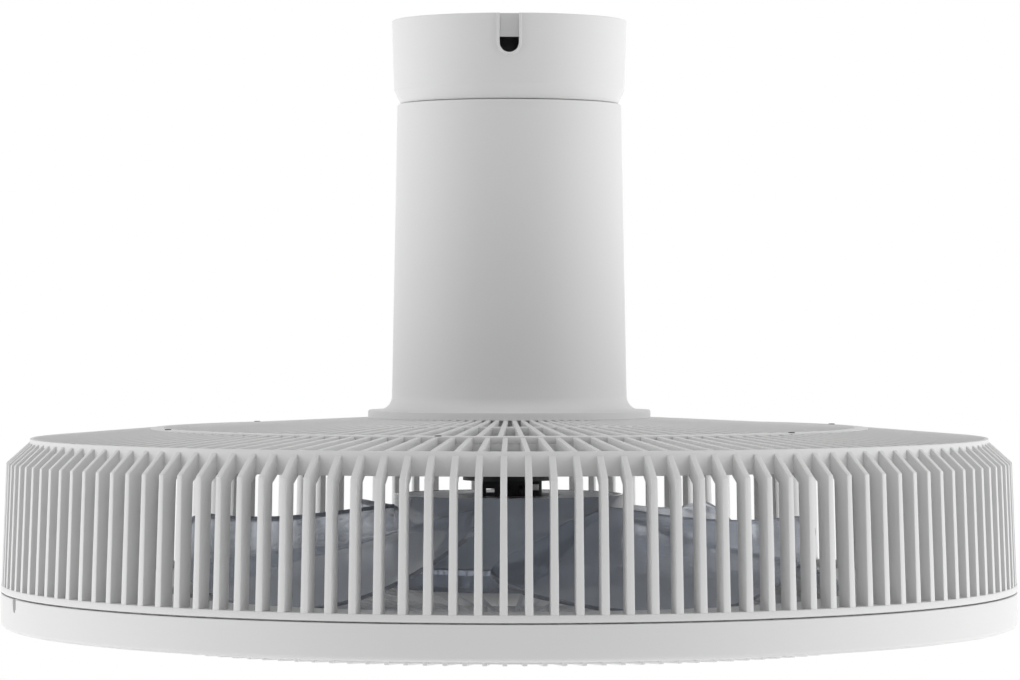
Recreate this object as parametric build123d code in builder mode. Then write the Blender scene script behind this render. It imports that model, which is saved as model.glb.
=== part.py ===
from build123d import *
from math import ceil, cos, radians, sin, tan
import os

os.makedirs("parts", exist_ok=True)

# Everything hangs from the ceiling plane z = 0, round the Z axis, with the cable slot of the canopy at -Y.
# All sizes are in millimetres and degrees. Angles called "bearing" count from -Y towards +X.

# Clearances
slip = 0.3
screw_fit = 0.05
bearing_fit = 0.04

# Ceiling bracket and cable entry
bracket_radius = 54.8
bracket_steel = 1.6
bracket_skirt = 11.4
ceiling_slot_spacing = 70.0
ceiling_slot_length = 15.0
ceiling_slot_width = 5.0
grommet_bore = 5.5
grommet_neck = 8.0
grommet_lip = 10.4
grommet_lip_height = 1.8

# Canopy
canopy_top_radius = 58.1
canopy_taper = 1.1
canopy_height = 41.0
canopy_wall = 2.4
canopy_chamfer_height = 6.8
canopy_chamfer_width = 3.2
cable_slot_width = 9.3
cable_slot_depth = 19.0
cable_slot_lip = 1.3
cable_slot_relief = 0.7
canopy_screw_bearing = 105.0

# Hanger tube
tube_radius = 13.5
tube_wall = 2.5
hanger_flange_radius = 26.0
hanger_flange_height = 4.0
hanger_bolt_count = 3
foot_flange_height = 4.0
foot_bolt_count = 4
foot_bolt_turn = 45.0
tube_window_width = 11.0
tube_window_height = 18.0

# Neck cover
neck_gap = 0.3
neck_top_radius = 55.4
neck_bottom_radius = 58.1
neck_height = 154.8
neck_wall = 2.5
neck_flange_radius = 69.9
neck_flange_height = 3.8
neck_flare = 7.0
neck_top_rounding = 0.8
neck_screw_count = 4
neck_screw_margin = 0.6

# Control box on the tube
control_width = 56.0
control_depth = 25.0
control_height = 80.0
control_wall = 2.0
control_top_drop = 70.0
board_thickness = 1.6

# Terminal block under the bracket
terminal_width = 36.0
terminal_depth = 13.0
terminal_height = 15.0
terminal_ways = 3
terminal_screw_radius = 1.8

# Cage and roof grille
cage_radius = 250.0
rib_count = 140
first_rib_bearing = 2.0
roof_rib_count = 105
roof_angle = 2.756
roof_outer_angle = 4.412
outlet_angle = 3.34
roof_rib_width = 2.3
roof_rib_depth = 10.0
hub_plate_radius = 68.0
hub_plate_height = 3.0
hub_rim_width = 4.0
mid_ring_radius = 107.0
mid_ring_width = 4.0
joint_ring_radius = 174.0
joint_ring_width = 7.0
joint_ring_height = 3.0
cage_ring_height = 7.5
grille_ring_step = 0.3
rim_radius = 236.0
rim_wall = 2.6
rim_height = 11.0
rib_start_drop = 1.7
shoulder_radius = 247.3
shoulder_drop = 11.8
cage_height = 74.1
rib_depth = 7.8
rib_width_top = 2.9
rib_width_bottom = 3.6
collar_height = 3.3
grille_screw_count = 6
grille_screw_bearing = -10.7
grille_screw_head = 1.7
grille_screw_head_height = 1.0

# Lower housing with the outlet throat
seam_gap = 0.7
seam_width = 3.5
band_height = 16.5
housing_wall = 2.4
tray_thickness = 2.2
band_edge_rounding = 2.2
throat_clearance = 4.0
throat_collar_height = 4.0
housing_screw_count = 10
notch_bearing = -70.0
notch_width = 6.0
notch_height = 6.5
notch_depth = 1.5

# Lamp ring
lamp_margin = 5.6
lamp_board_thickness = 1.6
chip_count = 70
chip_length = 3.5
chip_width = 2.8
chip_height = 0.8
chip_ring_gap = 17.0
board_screw_count = 5
diffuser_thickness = 2.0
diffuser_rim_width = 2.0
diffuser_rim_height = 7.0

# Outlet grille
outlet_radius = 200.1
outlet_rim_wall = 2.4
outlet_rib_relief = 0.8
outlet_drop = 3.1
outlet_rib_depth = 14.6
outlet_rib_width = 2.3
outlet_middle_radius = 141.0
outlet_inner_radius = 83.0
outlet_hub_radius = 36.0
outlet_hub_height = 3.0
outlet_ring_width = 3.0
lug_count = 3
lug_bearing = 20.0
lug_arc = 8.0
lug_height = 4.0
lug_reach = 1.6
lug_drop = 5.0
twist_angle = 12.0
cap_radius = 33.0
cap_height = 2.4

# Motor
mount_flange_height = 4.0
mount_body_radius = 23.0
mount_body_drop = 27.9
mount_block_width = 32.0
mount_block_height = 14.0
mount_bore = 9.0
mount_window_width = 4.2
mount_window_height = 6.5
bearing_bore = 4.0
bearing_radius = 11.0
bearing_height = 7.0
bearing_spacing = 8.5
bearing_tube_wall = 3.0
core_height = 16.0
core_radius = 47.0
core_yoke = 8.0
tooth_count = 12
tooth_width = 6.0
tooth_tip_height = 3.5
tooth_gap = 2.4
coil_build = 2.2
air_gap = 0.7
magnet_height = 20.0
bell_radius = 54.5
bell_wall = 2.0
bell_floor = 2.4
bell_wall_height = 31.8
bell_vent_count = 6
bell_vent_radius = 7.0
bell_cover_thickness = 1.5
bell_cover_bore = 25.5

# Impeller
impeller_hub_radius = 57.2
impeller_hub_wall = 2.2
impeller_hub_height = 45.8
impeller_web = 2.5
impeller_radius = 163.0
blade_count = 5
blade_thickness = 2.2
blade_bearing = -3.7
blade_tip_end = 72.0
blade_root_start = 32.0
blade_root_end = 60.0
blade_root_low = 33.2
blade_root_high = 40.0
tip_low_bearing = 32.0
tip_low_drop = 3.3
trailing_rise = 17.0
trailing_half_turn = 70.0
leading_rise = 43.0
leading_power = 2.4
fall_power = 1.25
trailing_edge_power = 4
trailing_corner = 24.0
leading_corner = 15.0
blade_net_step = 6.0
impeller_screw_count = 3
impeller_nut_flats = 13.0
impeller_nut_height = 4.6
hub_cap_height = 2.6

# Fasteners: depth of the flat seats, head radius, head height and shank radius
screw_seat = 0.35
small_head = 2.2
small_head_height = 1.4
small_shank = 1.15
medium_head = 3.0
medium_head_height = 2.0
medium_shank = 1.5
bolt_head = 4.5
bolt_head_height = 3.2
bolt_shank = 2.5

# Motor lead
lead_radius = 1.0
lead_loop_width = 6.0
lead_loop_height = 6.5
lead_loop_reach = 4.0
lead_bend = 2.4
clip_width = 6.5
clip_height = 3.0
clip_depth = 2.5

# Heights that follow from the sizes above
roof_slope = tan(radians(roof_angle))
roof_outer_slope = tan(radians(roof_outer_angle))
outlet_slope = tan(radians(outlet_angle))
joint_inner = joint_ring_radius - joint_ring_width / 2
joint_outer = joint_ring_radius + joint_ring_width / 2
canopy_bottom = -canopy_height
neck_top = canopy_bottom - neck_gap
neck_bottom = neck_top - neck_height
plate_bottom = neck_bottom - hub_plate_height


def roof_height(radius):
    """Height of the top of the roof ribs at a radius: the roof falls faster outside the joint ring."""
    inner_fall = max(min(radius, joint_outer) - neck_flange_radius, 0) * roof_slope
    outer_fall = max(radius - joint_outer, 0) * roof_outer_slope
    return neck_bottom - inner_fall - outer_fall


rim_top = roof_height(rim_radius)
cage_bottom = rim_top - cage_height
band_top = cage_bottom - seam_gap
band_bottom = band_top - band_height
tray_bottom = band_top - tray_thickness
mount_flange_bottom = plate_bottom - mount_flange_height
block_top = plate_bottom - mount_body_drop
block_bottom = block_top - mount_block_height
upper_bearing_top = block_bottom - 0.5
lower_bearing_top = upper_bearing_top - bearing_height - bearing_spacing
lower_bearing_bottom = lower_bearing_top - bearing_height
bearing_tube_radius = bearing_radius + screw_fit + bearing_tube_wall
bell_floor_top = lower_bearing_bottom - 2.0
bell_bottom = bell_floor_top - bell_floor
bell_top = bell_floor_top + bell_wall_height
web_top = bell_bottom - slip
web_bottom = web_top - impeller_web
bell_lip = bell_top - bell_cover_thickness
hub_top = bell_top + slip
hub_bottom = hub_top - impeller_hub_height
nut_bottom = web_bottom - impeller_nut_height
core_top = upper_bearing_top - (bearing_height + bearing_spacing) / 2 + core_height / 2 - 4.0
core_bottom = core_top - core_height

# Radii that follow from the sizes above
canopy_low_radius = canopy_top_radius - canopy_taper
pass_hole_radius = hanger_flange_radius + 1.5
hanger_bolt_circle = (tube_radius + hanger_flange_radius) / 2
foot_bolt_circle = mount_body_radius + bolt_head + 1.0
foot_flange_radius = foot_bolt_circle + bolt_head + 1.0
hub_rim_inner = hub_plate_radius - hub_rim_width
neck_screw_circle = hub_rim_inner - medium_head - neck_screw_margin
collar_inner_radius = cage_radius - rib_depth
seat_outer_radius = cage_radius - seam_width
housing_screw_circle = (collar_inner_radius + seat_outer_radius) / 2
throat_radius = impeller_radius + throat_clearance
outlet_wall_inner = outlet_radius + slip
outlet_wall_outer = outlet_wall_inner + housing_wall
band_inner_radius = cage_radius - housing_wall
lamp_inner = outlet_wall_outer + lamp_margin
lamp_outer = collar_inner_radius - 1.7
diffuser_inner = outlet_wall_outer + slip
diffuser_outer = band_inner_radius - slip
diffuser_fall = (diffuser_outer - diffuser_inner) * outlet_slope
outlet_wall_bottom = band_bottom - diffuser_fall
magnet_outer = bell_radius - bell_wall - screw_fit
magnet_inner = core_radius + air_gap


def turned(points, mode=Mode.ADD, bearing=90.0, arc=360.0):
    """Add a closed outline of (radius, z) points, turned round Z from a bearing through an arc."""
    angle = radians(bearing - 90.0)
    outline_plane = Plane(
        origin=(0, 0, 0), x_dir=(cos(angle), sin(angle), 0), z_dir=(sin(angle), -cos(angle), 0)
    )
    with BuildSketch(outline_plane) as outline:
        with BuildLine():
            Polyline(*points, close=True)
        make_face()
    revolve(outline.sketch, axis=Axis.Z, revolution_arc=arc, mode=mode)


def ring(inner, outer, bottom, top, mode=Mode.ADD):
    """Add a plain ring between two radii and two heights."""
    turned([(inner, bottom), (outer, bottom), (outer, top), (inner, top)], mode)


def outward_plane(bearing, radius, height):
    """A plane on the side of a cylinder about Z that faces outwards."""
    angle = radians(bearing - 90.0)
    return Plane(
        origin=(radius * cos(angle), radius * sin(angle), height),
        x_dir=(-sin(angle), cos(angle), 0),
        z_dir=(cos(angle), sin(angle), 0),
    )


def facing_down(bearing, radius, height):
    """A plane under a face, looking down."""
    angle = radians(bearing - 90.0)
    return Plane(
        origin=(radius * cos(angle), radius * sin(angle), height), x_dir=(1, 0, 0), z_dir=(0, 0, -1)
    )


def facing_up(bearing, radius, height):
    """A plane on a face, looking up."""
    angle = radians(bearing - 90.0)
    return Plane(origin=(radius * cos(angle), radius * sin(angle), height))


def spread(count, first):
    """Evenly spaced bearings round the whole circle."""
    return [first + 360.0 / count * step for step in range(count)]


def drill(planes, radius, depth, seat_radius=0.0):
    """Cut a round hole of a depth down from each plane, and a flat seat above it for a head."""
    with BuildPart(mode=Mode.PRIVATE) as bit:
        Cylinder(radius, depth, align=(Align.CENTER, Align.CENTER, Align.MAX))
        if seat_radius:
            Cylinder(seat_radius, 2 * small_head, align=(Align.CENTER, Align.CENTER, Align.MIN))
    with Locations(*planes):
        add(bit.part, clean=False, mode=Mode.SUBTRACT)


def pan_screw(head_radius, head_height, shank_radius, shank_length):
    """A cross-head screw: the head stands on the local XY plane, the shank runs down from it."""
    with BuildPart(mode=Mode.PRIVATE) as screw:
        Cylinder(head_radius, head_height, align=(Align.CENTER, Align.CENTER, Align.MIN))
        fillet(screw.edges().sort_by(Axis.Z)[-1], head_height * 0.45)
        Cylinder(shank_radius, shank_length, align=(Align.CENTER, Align.CENTER, Align.MAX))
        with BuildSketch(Plane.XY.offset(head_height)):
            Rectangle(head_radius * 1.1, head_radius * 0.26)
            Rectangle(head_radius * 0.26, head_radius * 1.1)
        extrude(amount=-head_height * 0.6, mode=Mode.SUBTRACT)
    return screw.part


# Places of the fasteners
canopy_screw_drop = -bracket_skirt / 2
canopy_screw_radius = canopy_top_radius - canopy_taper - screw_seat
canopy_screw_planes = [
    outward_plane(side * canopy_screw_bearing, canopy_screw_radius, canopy_screw_drop) for side in (-1, 1)
]
canopy_screw_length = canopy_screw_radius - bracket_radius + bracket_steel + 1.0
hanger_bolt_planes = [
    facing_down(bearing, hanger_bolt_circle, -bracket_steel - hanger_flange_height)
    for bearing in spread(hanger_bolt_count, 0.0)
]
foot_bolt_planes = [
    facing_down(bearing, foot_bolt_circle, mount_flange_bottom)
    for bearing in spread(foot_bolt_count, foot_bolt_turn)
]
foot_bolt_length = mount_flange_height + hub_plate_height + foot_flange_height
neck_screw_planes = [
    facing_down(bearing, neck_screw_circle, plate_bottom) for bearing in spread(neck_screw_count, 0.0)
]
neck_screw_length = hub_plate_height + neck_flange_height - 1.0
grille_screw_planes = [
    facing_up(bearing, joint_ring_radius, roof_height(joint_ring_radius) - screw_seat)
    for bearing in spread(grille_screw_count, grille_screw_bearing)
]
grille_screw_length = joint_ring_height + cage_ring_height - 2.0
housing_screw_planes = [
    facing_down(bearing, housing_screw_circle, tray_bottom)
    for bearing in spread(housing_screw_count, first_rib_bearing)
]
housing_screw_length = cage_bottom - tray_bottom + collar_height + 5.0
lamp_middle = (lamp_inner + lamp_outer) / 2
board_screw_planes = [
    facing_down(bearing, lamp_middle, tray_bottom - lamp_board_thickness)
    for bearing in spread(board_screw_count, 10.0)
]
board_screw_length = lamp_board_thickness + tray_thickness - 0.6
control_top = -control_top_drop
control_bottom = control_top - control_height
control_front = tube_radius + slip
control_back = control_front + control_depth
control_screw_heights = (control_top - control_height / 5, control_bottom + control_height / 5)
control_screw_planes = [
    Plane(origin=(0, control_front + control_wall, height), x_dir=(1, 0, 0), z_dir=(0, 1, 0))
    for height in control_screw_heights
]
control_screw_length = control_wall + slip + tube_wall
impeller_screw_circle = (impeller_hub_radius + bearing_tube_radius) / 2 - 6.0
impeller_screw_planes = [
    facing_down(bearing, impeller_screw_circle, web_bottom) for bearing in spread(impeller_screw_count, 0.0)
]
impeller_screw_length = impeller_web + slip + bell_floor


# Ceiling bracket: a pressed steel pan screwed to the ceiling, with a turned-down skirt for the canopy
with BuildPart() as ceiling_bracket:
    turned([
        (grommet_neck, 0),
        (bracket_radius, 0),
        (bracket_radius, -bracket_skirt),
        (bracket_radius - bracket_steel, -bracket_skirt),
        (bracket_radius - bracket_steel, -bracket_steel),
        (grommet_neck, -bracket_steel),
    ])
    with BuildSketch(Plane.XY):
        with Locations((-ceiling_slot_spacing / 2, 0), (ceiling_slot_spacing / 2, 0)):
            SlotOverall(ceiling_slot_length, ceiling_slot_width)
    extrude(amount=-bracket_steel, mode=Mode.SUBTRACT)
    drill(canopy_screw_planes, medium_shank + screw_fit, canopy_screw_length + 1.0)
    drill(hanger_bolt_planes, bolt_shank + screw_fit, hanger_flange_height + bracket_steel)
ceiling_bracket.part.label = "ceiling_bracket"
export_step(ceiling_bracket.part, "parts/ceiling_bracket.step")

# Rubber grommet that lines the cable hole in the bracket
with BuildPart() as cable_grommet:
    turned([
        (grommet_bore, 0),
        (grommet_neck - screw_fit, 0),
        (grommet_neck - screw_fit, -bracket_steel - screw_fit),
        (grommet_lip, -bracket_steel - screw_fit),
        (grommet_lip, -bracket_steel - grommet_lip_height),
        (grommet_bore, -bracket_steel - grommet_lip_height),
    ])
cable_grommet.part.label = "cable_grommet"
export_step(cable_grommet.part, "parts/cable_grommet.step")

# Canopy: a moulded cup with a slot for a cable laid on the ceiling and a raised lip round the slot
with BuildPart() as canopy:
    turned([
        (canopy_top_radius, 0),
        (canopy_low_radius, canopy_bottom + canopy_chamfer_height),
        (canopy_low_radius - canopy_chamfer_width, canopy_bottom),
        (pass_hole_radius, canopy_bottom),
        (pass_hole_radius, canopy_bottom + canopy_wall),
        (canopy_low_radius - canopy_chamfer_width - canopy_wall / 2, canopy_bottom + canopy_wall),
        (canopy_low_radius - canopy_wall, canopy_bottom + canopy_chamfer_height),
        (canopy_top_radius - canopy_wall, 0),
    ])
    with BuildSketch(Plane.XZ.offset(canopy_top_radius - canopy_wall / 2)):
        SlotOverall(
            2 * (cable_slot_depth + cable_slot_lip), cable_slot_width + 2 * cable_slot_lip, rotation=90
        )
        Rectangle(
            4 * cable_slot_width,
            2 * cable_slot_depth,
            align=(Align.CENTER, Align.MAX),
            mode=Mode.INTERSECT,
        )
    extrude(amount=canopy_wall / 2 + cable_slot_relief)
    with BuildSketch(Plane.XZ.offset(canopy_low_radius - 2 * canopy_wall)):
        SlotOverall(2 * cable_slot_depth, cable_slot_width, rotation=90)
    extrude(amount=4 * canopy_wall, mode=Mode.SUBTRACT)
    drill(canopy_screw_planes, medium_shank + screw_fit, 2 * canopy_wall, medium_head + screw_fit)
canopy.part.label = "canopy"
export_step(canopy.part, "parts/canopy.step")

with BuildPart() as canopy_screws:
    with Locations(*canopy_screw_planes):
        add(pan_screw(medium_head, medium_head_height, medium_shank, canopy_screw_length))
canopy_screws.part.label = "canopy_screws"
export_step(canopy_screws.part, "parts/canopy_screws.step")

# Hanger tube: carries the fan between the bracket and the hub plate, with windows for the wires
with BuildPart() as hanger_tube:
    turned([
        (tube_radius - tube_wall, -bracket_steel),
        (hanger_flange_radius, -bracket_steel),
        (hanger_flange_radius, -bracket_steel - hanger_flange_height),
        (tube_radius, -bracket_steel - hanger_flange_height),
        (tube_radius, neck_bottom + foot_flange_height),
        (foot_flange_radius, neck_bottom + foot_flange_height),
        (foot_flange_radius, neck_bottom),
        (tube_radius - tube_wall, neck_bottom),
    ])
    window_heights = (
        -bracket_steel - hanger_flange_height - tube_window_height,
        control_bottom - tube_window_height,
    )
    with BuildSketch(Plane.XZ.offset(-tube_radius - 1.0)):
        with Locations(*[(0, height) for height in window_heights]):
            SlotOverall(tube_window_height, tube_window_width, rotation=90)
    extrude(amount=tube_radius, mode=Mode.SUBTRACT)
    drill(hanger_bolt_planes, bolt_shank + screw_fit, hanger_flange_height)
    drill(control_screw_planes, medium_shank + screw_fit, control_screw_length + 1.0)
    drill(foot_bolt_planes, bolt_shank + screw_fit, foot_bolt_length)
hanger_tube.part.label = "hanger_tube"
export_step(hanger_tube.part, "parts/hanger_tube.step")

with BuildPart() as hanger_bolts:
    with Locations(*hanger_bolt_planes):
        add(pan_screw(bolt_head, bolt_head_height, bolt_shank, hanger_flange_height + bracket_steel))
hanger_bolts.part.label = "hanger_bolts"
export_step(hanger_bolts.part, "parts/hanger_bolts.step")

# Terminal block under the bracket, beside the tube flange
terminal_centre = hanger_flange_radius + 2.0 + terminal_depth / 2
terminal_pitch = terminal_width / terminal_ways
terminal_spots = [((step + 0.5) * terminal_pitch - terminal_width / 2) for step in range(terminal_ways)]
terminal_bottom = -bracket_steel - terminal_height
with BuildPart() as terminal_block:
    with BuildSketch(Plane.XY.offset(-bracket_steel)):
        with Locations((0, terminal_centre)):
            RectangleRounded(terminal_width, terminal_depth, 1.5)
    extrude(amount=-terminal_height)
    with BuildSketch(Plane.XZ.offset(-terminal_centre - terminal_depth)):
        with Locations(*[(spot, -bracket_steel - terminal_height / 3) for spot in terminal_spots]):
            Circle(terminal_screw_radius)
    extrude(amount=2 * terminal_depth, mode=Mode.SUBTRACT)
    with BuildSketch(Plane.XY.offset(terminal_bottom)):
        with Locations(*[(spot, terminal_centre) for spot in terminal_spots]):
            Circle(terminal_screw_radius + screw_fit)
    extrude(amount=terminal_height / 2, mode=Mode.SUBTRACT)
terminal_block.part.label = "terminal_block"
export_step(terminal_block.part, "parts/terminal_block.step")

with BuildPart() as terminal_screws:
    with BuildSketch(Plane.XY.offset(terminal_bottom + 1.0)):
        with Locations(*[(spot, terminal_centre) for spot in terminal_spots]):
            Circle(terminal_screw_radius)
    extrude(amount=terminal_height / 2 - 1.0)
    with BuildSketch(Plane.XY.offset(terminal_bottom + 1.0)):
        with Locations(*[(spot, terminal_centre) for spot in terminal_spots]):
            Rectangle(2.5 * terminal_screw_radius, 0.6)
    extrude(amount=1.0, mode=Mode.SUBTRACT)
terminal_screws.part.label = "terminal_screws"
export_step(terminal_screws.part, "parts/terminal_screws.step")

# Neck cover: a moulded column that widens downwards and flares into a flange on the roof
flange_top = neck_bottom + neck_flange_height
with BuildPart() as neck_cover:
    with BuildSketch(Plane.XZ):
        with BuildLine():
            Polyline(
                (pass_hole_radius, neck_top),
                (neck_top_radius, neck_top),
                (neck_bottom_radius, flange_top + neck_flare),
            )
            CenterArc((neck_bottom_radius + neck_flare, flange_top + neck_flare), neck_flare, 180, 90)
            Polyline(
                (neck_bottom_radius + neck_flare, flange_top),
                (neck_flange_radius, flange_top),
                (neck_flange_radius, neck_bottom),
                (neck_bottom_radius - neck_wall - 1.0, neck_bottom),
                (neck_bottom_radius - neck_wall, flange_top + neck_flare),
                (neck_top_radius - neck_wall, neck_top - neck_wall),
                (pass_hole_radius, neck_top - neck_wall),
                (pass_hole_radius, neck_top),
            )
        make_face()
    revolve(axis=Axis.Z)
    fillet(neck_cover.edges().group_by(Axis.Z)[-1].sort_by(SortBy.LENGTH)[-1], neck_top_rounding)
    drill(neck_screw_planes, medium_shank + screw_fit, neck_screw_length)
neck_cover.part.label = "neck_cover"
export_step(neck_cover.part, "parts/neck_cover.step")

with BuildPart() as neck_screws:
    with Locations(*neck_screw_planes):
        add(pan_screw(medium_head, medium_head_height, medium_shank, neck_screw_length))
neck_screws.part.label = "neck_screws"
export_step(neck_screws.part, "parts/neck_screws.step")

# Control box: an open moulded case screwed to the back of the tube, its lid and its circuit board
control_middle = (control_front + control_back) / 2
control_centre_height = (control_top + control_bottom) / 2
with BuildPart() as control_box:
    with Locations((0, control_middle, control_centre_height)):
        Box(control_width, control_depth, control_height)
    fillet(control_box.edges().filter_by(Axis.Y), 3.0)
    with Locations((0, control_middle + control_wall, control_centre_height)):
        Box(
            control_width - 2 * control_wall,
            control_depth,
            control_height - 2 * control_wall,
            mode=Mode.SUBTRACT,
        )
    with BuildSketch(Plane.XY.offset(control_bottom - 1.0)):
        with Locations((control_width / 4, control_middle)):
            Circle(4.0)
    extrude(amount=2 * control_wall + 1.0, mode=Mode.SUBTRACT)
    drill(control_screw_planes, medium_shank + screw_fit, control_screw_length)
control_box.part.label = "control_box"
export_step(control_box.part, "parts/control_box.step")

with BuildPart() as control_lid:
    with Locations((0, control_back + control_wall / 2, control_centre_height)):
        Box(control_width, control_wall, control_height)
    fillet(control_lid.edges().filter_by(Axis.Y), 3.0)
    with Locations((0, control_back - control_wall / 2, control_centre_height)):
        Box(
            control_width - 2 * control_wall - 2 * slip,
            control_wall,
            control_height - 2 * control_wall - 2 * slip,
        )
control_lid.part.label = "control_lid"
export_step(control_lid.part, "parts/control_lid.step")

board_front = control_front + control_wall + 6.0
with BuildPart() as control_board:
    with Locations((0, board_front, control_centre_height)):
        Box(control_width - 2 * control_wall - 2 * slip, board_thickness, control_height - 4 * control_wall)
    with Locations((-control_width / 5, board_front + board_thickness / 2, control_centre_height + 16.0)):
        Box(20.0, 11.0, 18.0, align=(Align.CENTER, Align.MIN, Align.CENTER))
    with BuildSketch(Plane.XZ.offset(-board_front - board_thickness / 2)):
        with Locations((control_width / 5, control_centre_height + 18.0)):
            Circle(6.5)
        with Locations((-control_width / 5, control_centre_height - 16.0)):
            Circle(5.0)
        with Locations((control_width / 6, control_centre_height - 14.0)):
            Rectangle(16.0, 14.0)
    extrude(amount=-9.0)
control_board.part.label = "control_board"
export_step(control_board.part, "parts/control_board.step")

with BuildPart() as control_screws:
    with Locations(*control_screw_planes):
        add(pan_screw(medium_head, medium_head_height, medium_shank, control_screw_length))
control_screws.part.label = "control_screws"
export_step(control_screws.part, "parts/control_screws.step")

# One rib of the inner roof grille, standing along +X, with a tongue that runs into the joint ring
tongue_end = joint_inner + 1.5
tongue_height = joint_ring_height - 2 * grille_ring_step
with BuildPart() as roof_rib:
    with BuildSketch(Plane.XZ):
        with BuildLine():
            Polyline(
                (hub_rim_inner, neck_bottom),
                (neck_flange_radius, neck_bottom),
                (tongue_end, roof_height(tongue_end)),
                (tongue_end, roof_height(tongue_end) - tongue_height),
                (joint_inner - slip, roof_height(joint_inner) - tongue_height),
                (joint_inner - slip, roof_height(joint_inner) - roof_rib_depth),
                (neck_flange_radius, neck_bottom - roof_rib_depth),
                (hub_rim_inner, neck_bottom - roof_rib_depth),
                close=True,
            )
        make_face()
    extrude(amount=roof_rib_width / 2, both=True)

# Roof grille: the hub plate, two rings and the radial ribs between them
mid_inner = mid_ring_radius - mid_ring_width / 2
mid_outer = mid_ring_radius + mid_ring_width / 2
with BuildPart() as top_grille:
    turned([
        (tube_radius - tube_wall, neck_bottom),
        (hub_plate_radius, neck_bottom),
        (hub_plate_radius, neck_bottom - roof_rib_depth),
        (hub_rim_inner, neck_bottom - roof_rib_depth),
        (hub_rim_inner, plate_bottom),
        (tube_radius - tube_wall, plate_bottom),
    ])
    drill(foot_bolt_planes, bolt_shank + screw_fit, foot_bolt_length)
    drill(neck_screw_planes, medium_shank + screw_fit, neck_screw_length)
    turned([
        (mid_inner, roof_height(mid_inner) - grille_ring_step),
        (mid_outer, roof_height(mid_outer) - grille_ring_step),
        (mid_outer, roof_height(mid_outer) - roof_rib_depth / 2),
        (mid_inner, roof_height(mid_inner) - roof_rib_depth / 2),
    ])
    turned([
        (joint_inner, roof_height(joint_inner) + grille_ring_step),
        (joint_outer - slip, roof_height(joint_outer - slip) + grille_ring_step),
        (joint_outer - slip, roof_height(joint_outer - slip) - joint_ring_height),
        (joint_inner, roof_height(joint_inner) - joint_ring_height),
    ])
    with PolarLocations(0, roof_rib_count, start_angle=first_rib_bearing - 90.0):
        add(roof_rib.part, clean=False)
    drill(grille_screw_planes, small_shank + screw_fit, grille_screw_length, grille_screw_head + screw_fit)
top_grille.part.label = "top_grille"
export_step(top_grille.part, "parts/top_grille.step")

# One rib of the cage: a roof stretch, and a side stretch that starts on the rim and widens downwards
rim_middle = rim_radius - rim_wall / 2
shoulder_height = rim_top - shoulder_drop
foot_radius = cage_radius - grille_ring_step
half_top = rib_width_top / 2
half_bottom = rib_width_bottom / 2
with BuildPart() as cage_rib:
    with BuildSketch(Plane.XZ):
        with BuildLine():
            Polyline(
                (rim_middle, rim_top - rib_start_drop),
                (rim_radius, rim_top - rib_start_drop),
                (shoulder_radius, shoulder_height),
                (foot_radius, cage_bottom),
                (collar_inner_radius, cage_bottom),
                (shoulder_radius - rib_depth, shoulder_height - 3.0),
                (rim_middle, rim_top - rim_height),
                close=True,
            )
        make_face()
    extrude(amount=half_bottom, both=True)
    for side in (-1, 1):
        flank = Plane(
            origin=(0, side * half_bottom, cage_bottom),
            x_dir=(1, 0, 0),
            z_dir=(0, side, (half_bottom - half_top) / (rim_top - cage_bottom)),
        )
        split(bisect_by=flank, keep=Keep.BOTTOM)
    with BuildSketch(Plane.XZ):
        with BuildLine():
            Polyline(
                (joint_outer - slip / 2, roof_height(joint_outer)),
                (rim_middle, roof_height(rim_middle)),
                (rim_middle, rim_top - roof_rib_depth),
                (joint_ring_radius, roof_height(joint_ring_radius) - roof_rib_depth),
                (joint_ring_radius, roof_height(joint_ring_radius) - joint_ring_height - 1.0),
                (joint_outer - slip / 2, roof_height(joint_outer) - joint_ring_height - 1.0),
                close=True,
            )
        make_face()
    extrude(amount=roof_rib_width / 2, both=True)

# Outer cage: the ledge ring under the joint, the rim and the collar, with all the ribs
collar_top = cage_bottom + collar_height
collar_outer = cage_radius - (cage_radius - shoulder_radius) * collar_height / (shoulder_height - cage_bottom)
ledge_height = joint_ring_height + cage_ring_height
with BuildPart() as outer_cage:
    turned([
        (joint_inner, roof_height(joint_inner) - joint_ring_height),
        (joint_outer, roof_height(joint_outer) - joint_ring_height),
        (joint_outer, roof_height(joint_outer) - ledge_height),
        (joint_inner, roof_height(joint_inner) - ledge_height),
    ])
    ring(rim_radius - rim_wall, rim_radius, rim_top - rim_height, rim_top)
    turned([
        (collar_inner_radius - grille_ring_step, cage_bottom),
        (cage_radius, cage_bottom),
        (collar_outer, collar_top),
        (collar_inner_radius - grille_ring_step, collar_top),
    ])
    with PolarLocations(0, rib_count, start_angle=first_rib_bearing - 90.0):
        add(cage_rib.part, clean=False)
    drill(grille_screw_planes, small_shank + screw_fit, grille_screw_length)
    drill(housing_screw_planes, small_shank + screw_fit, housing_screw_length)
outer_cage.part.label = "outer_cage"
export_step(outer_cage.part, "parts/outer_cage.step")

with BuildPart() as grille_screws:
    with Locations(*grille_screw_planes):
        add(pan_screw(grille_screw_head, grille_screw_head_height, small_shank, grille_screw_length))
grille_screws.part.label = "grille_screws"
export_step(grille_screws.part, "parts/grille_screws.step")

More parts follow.
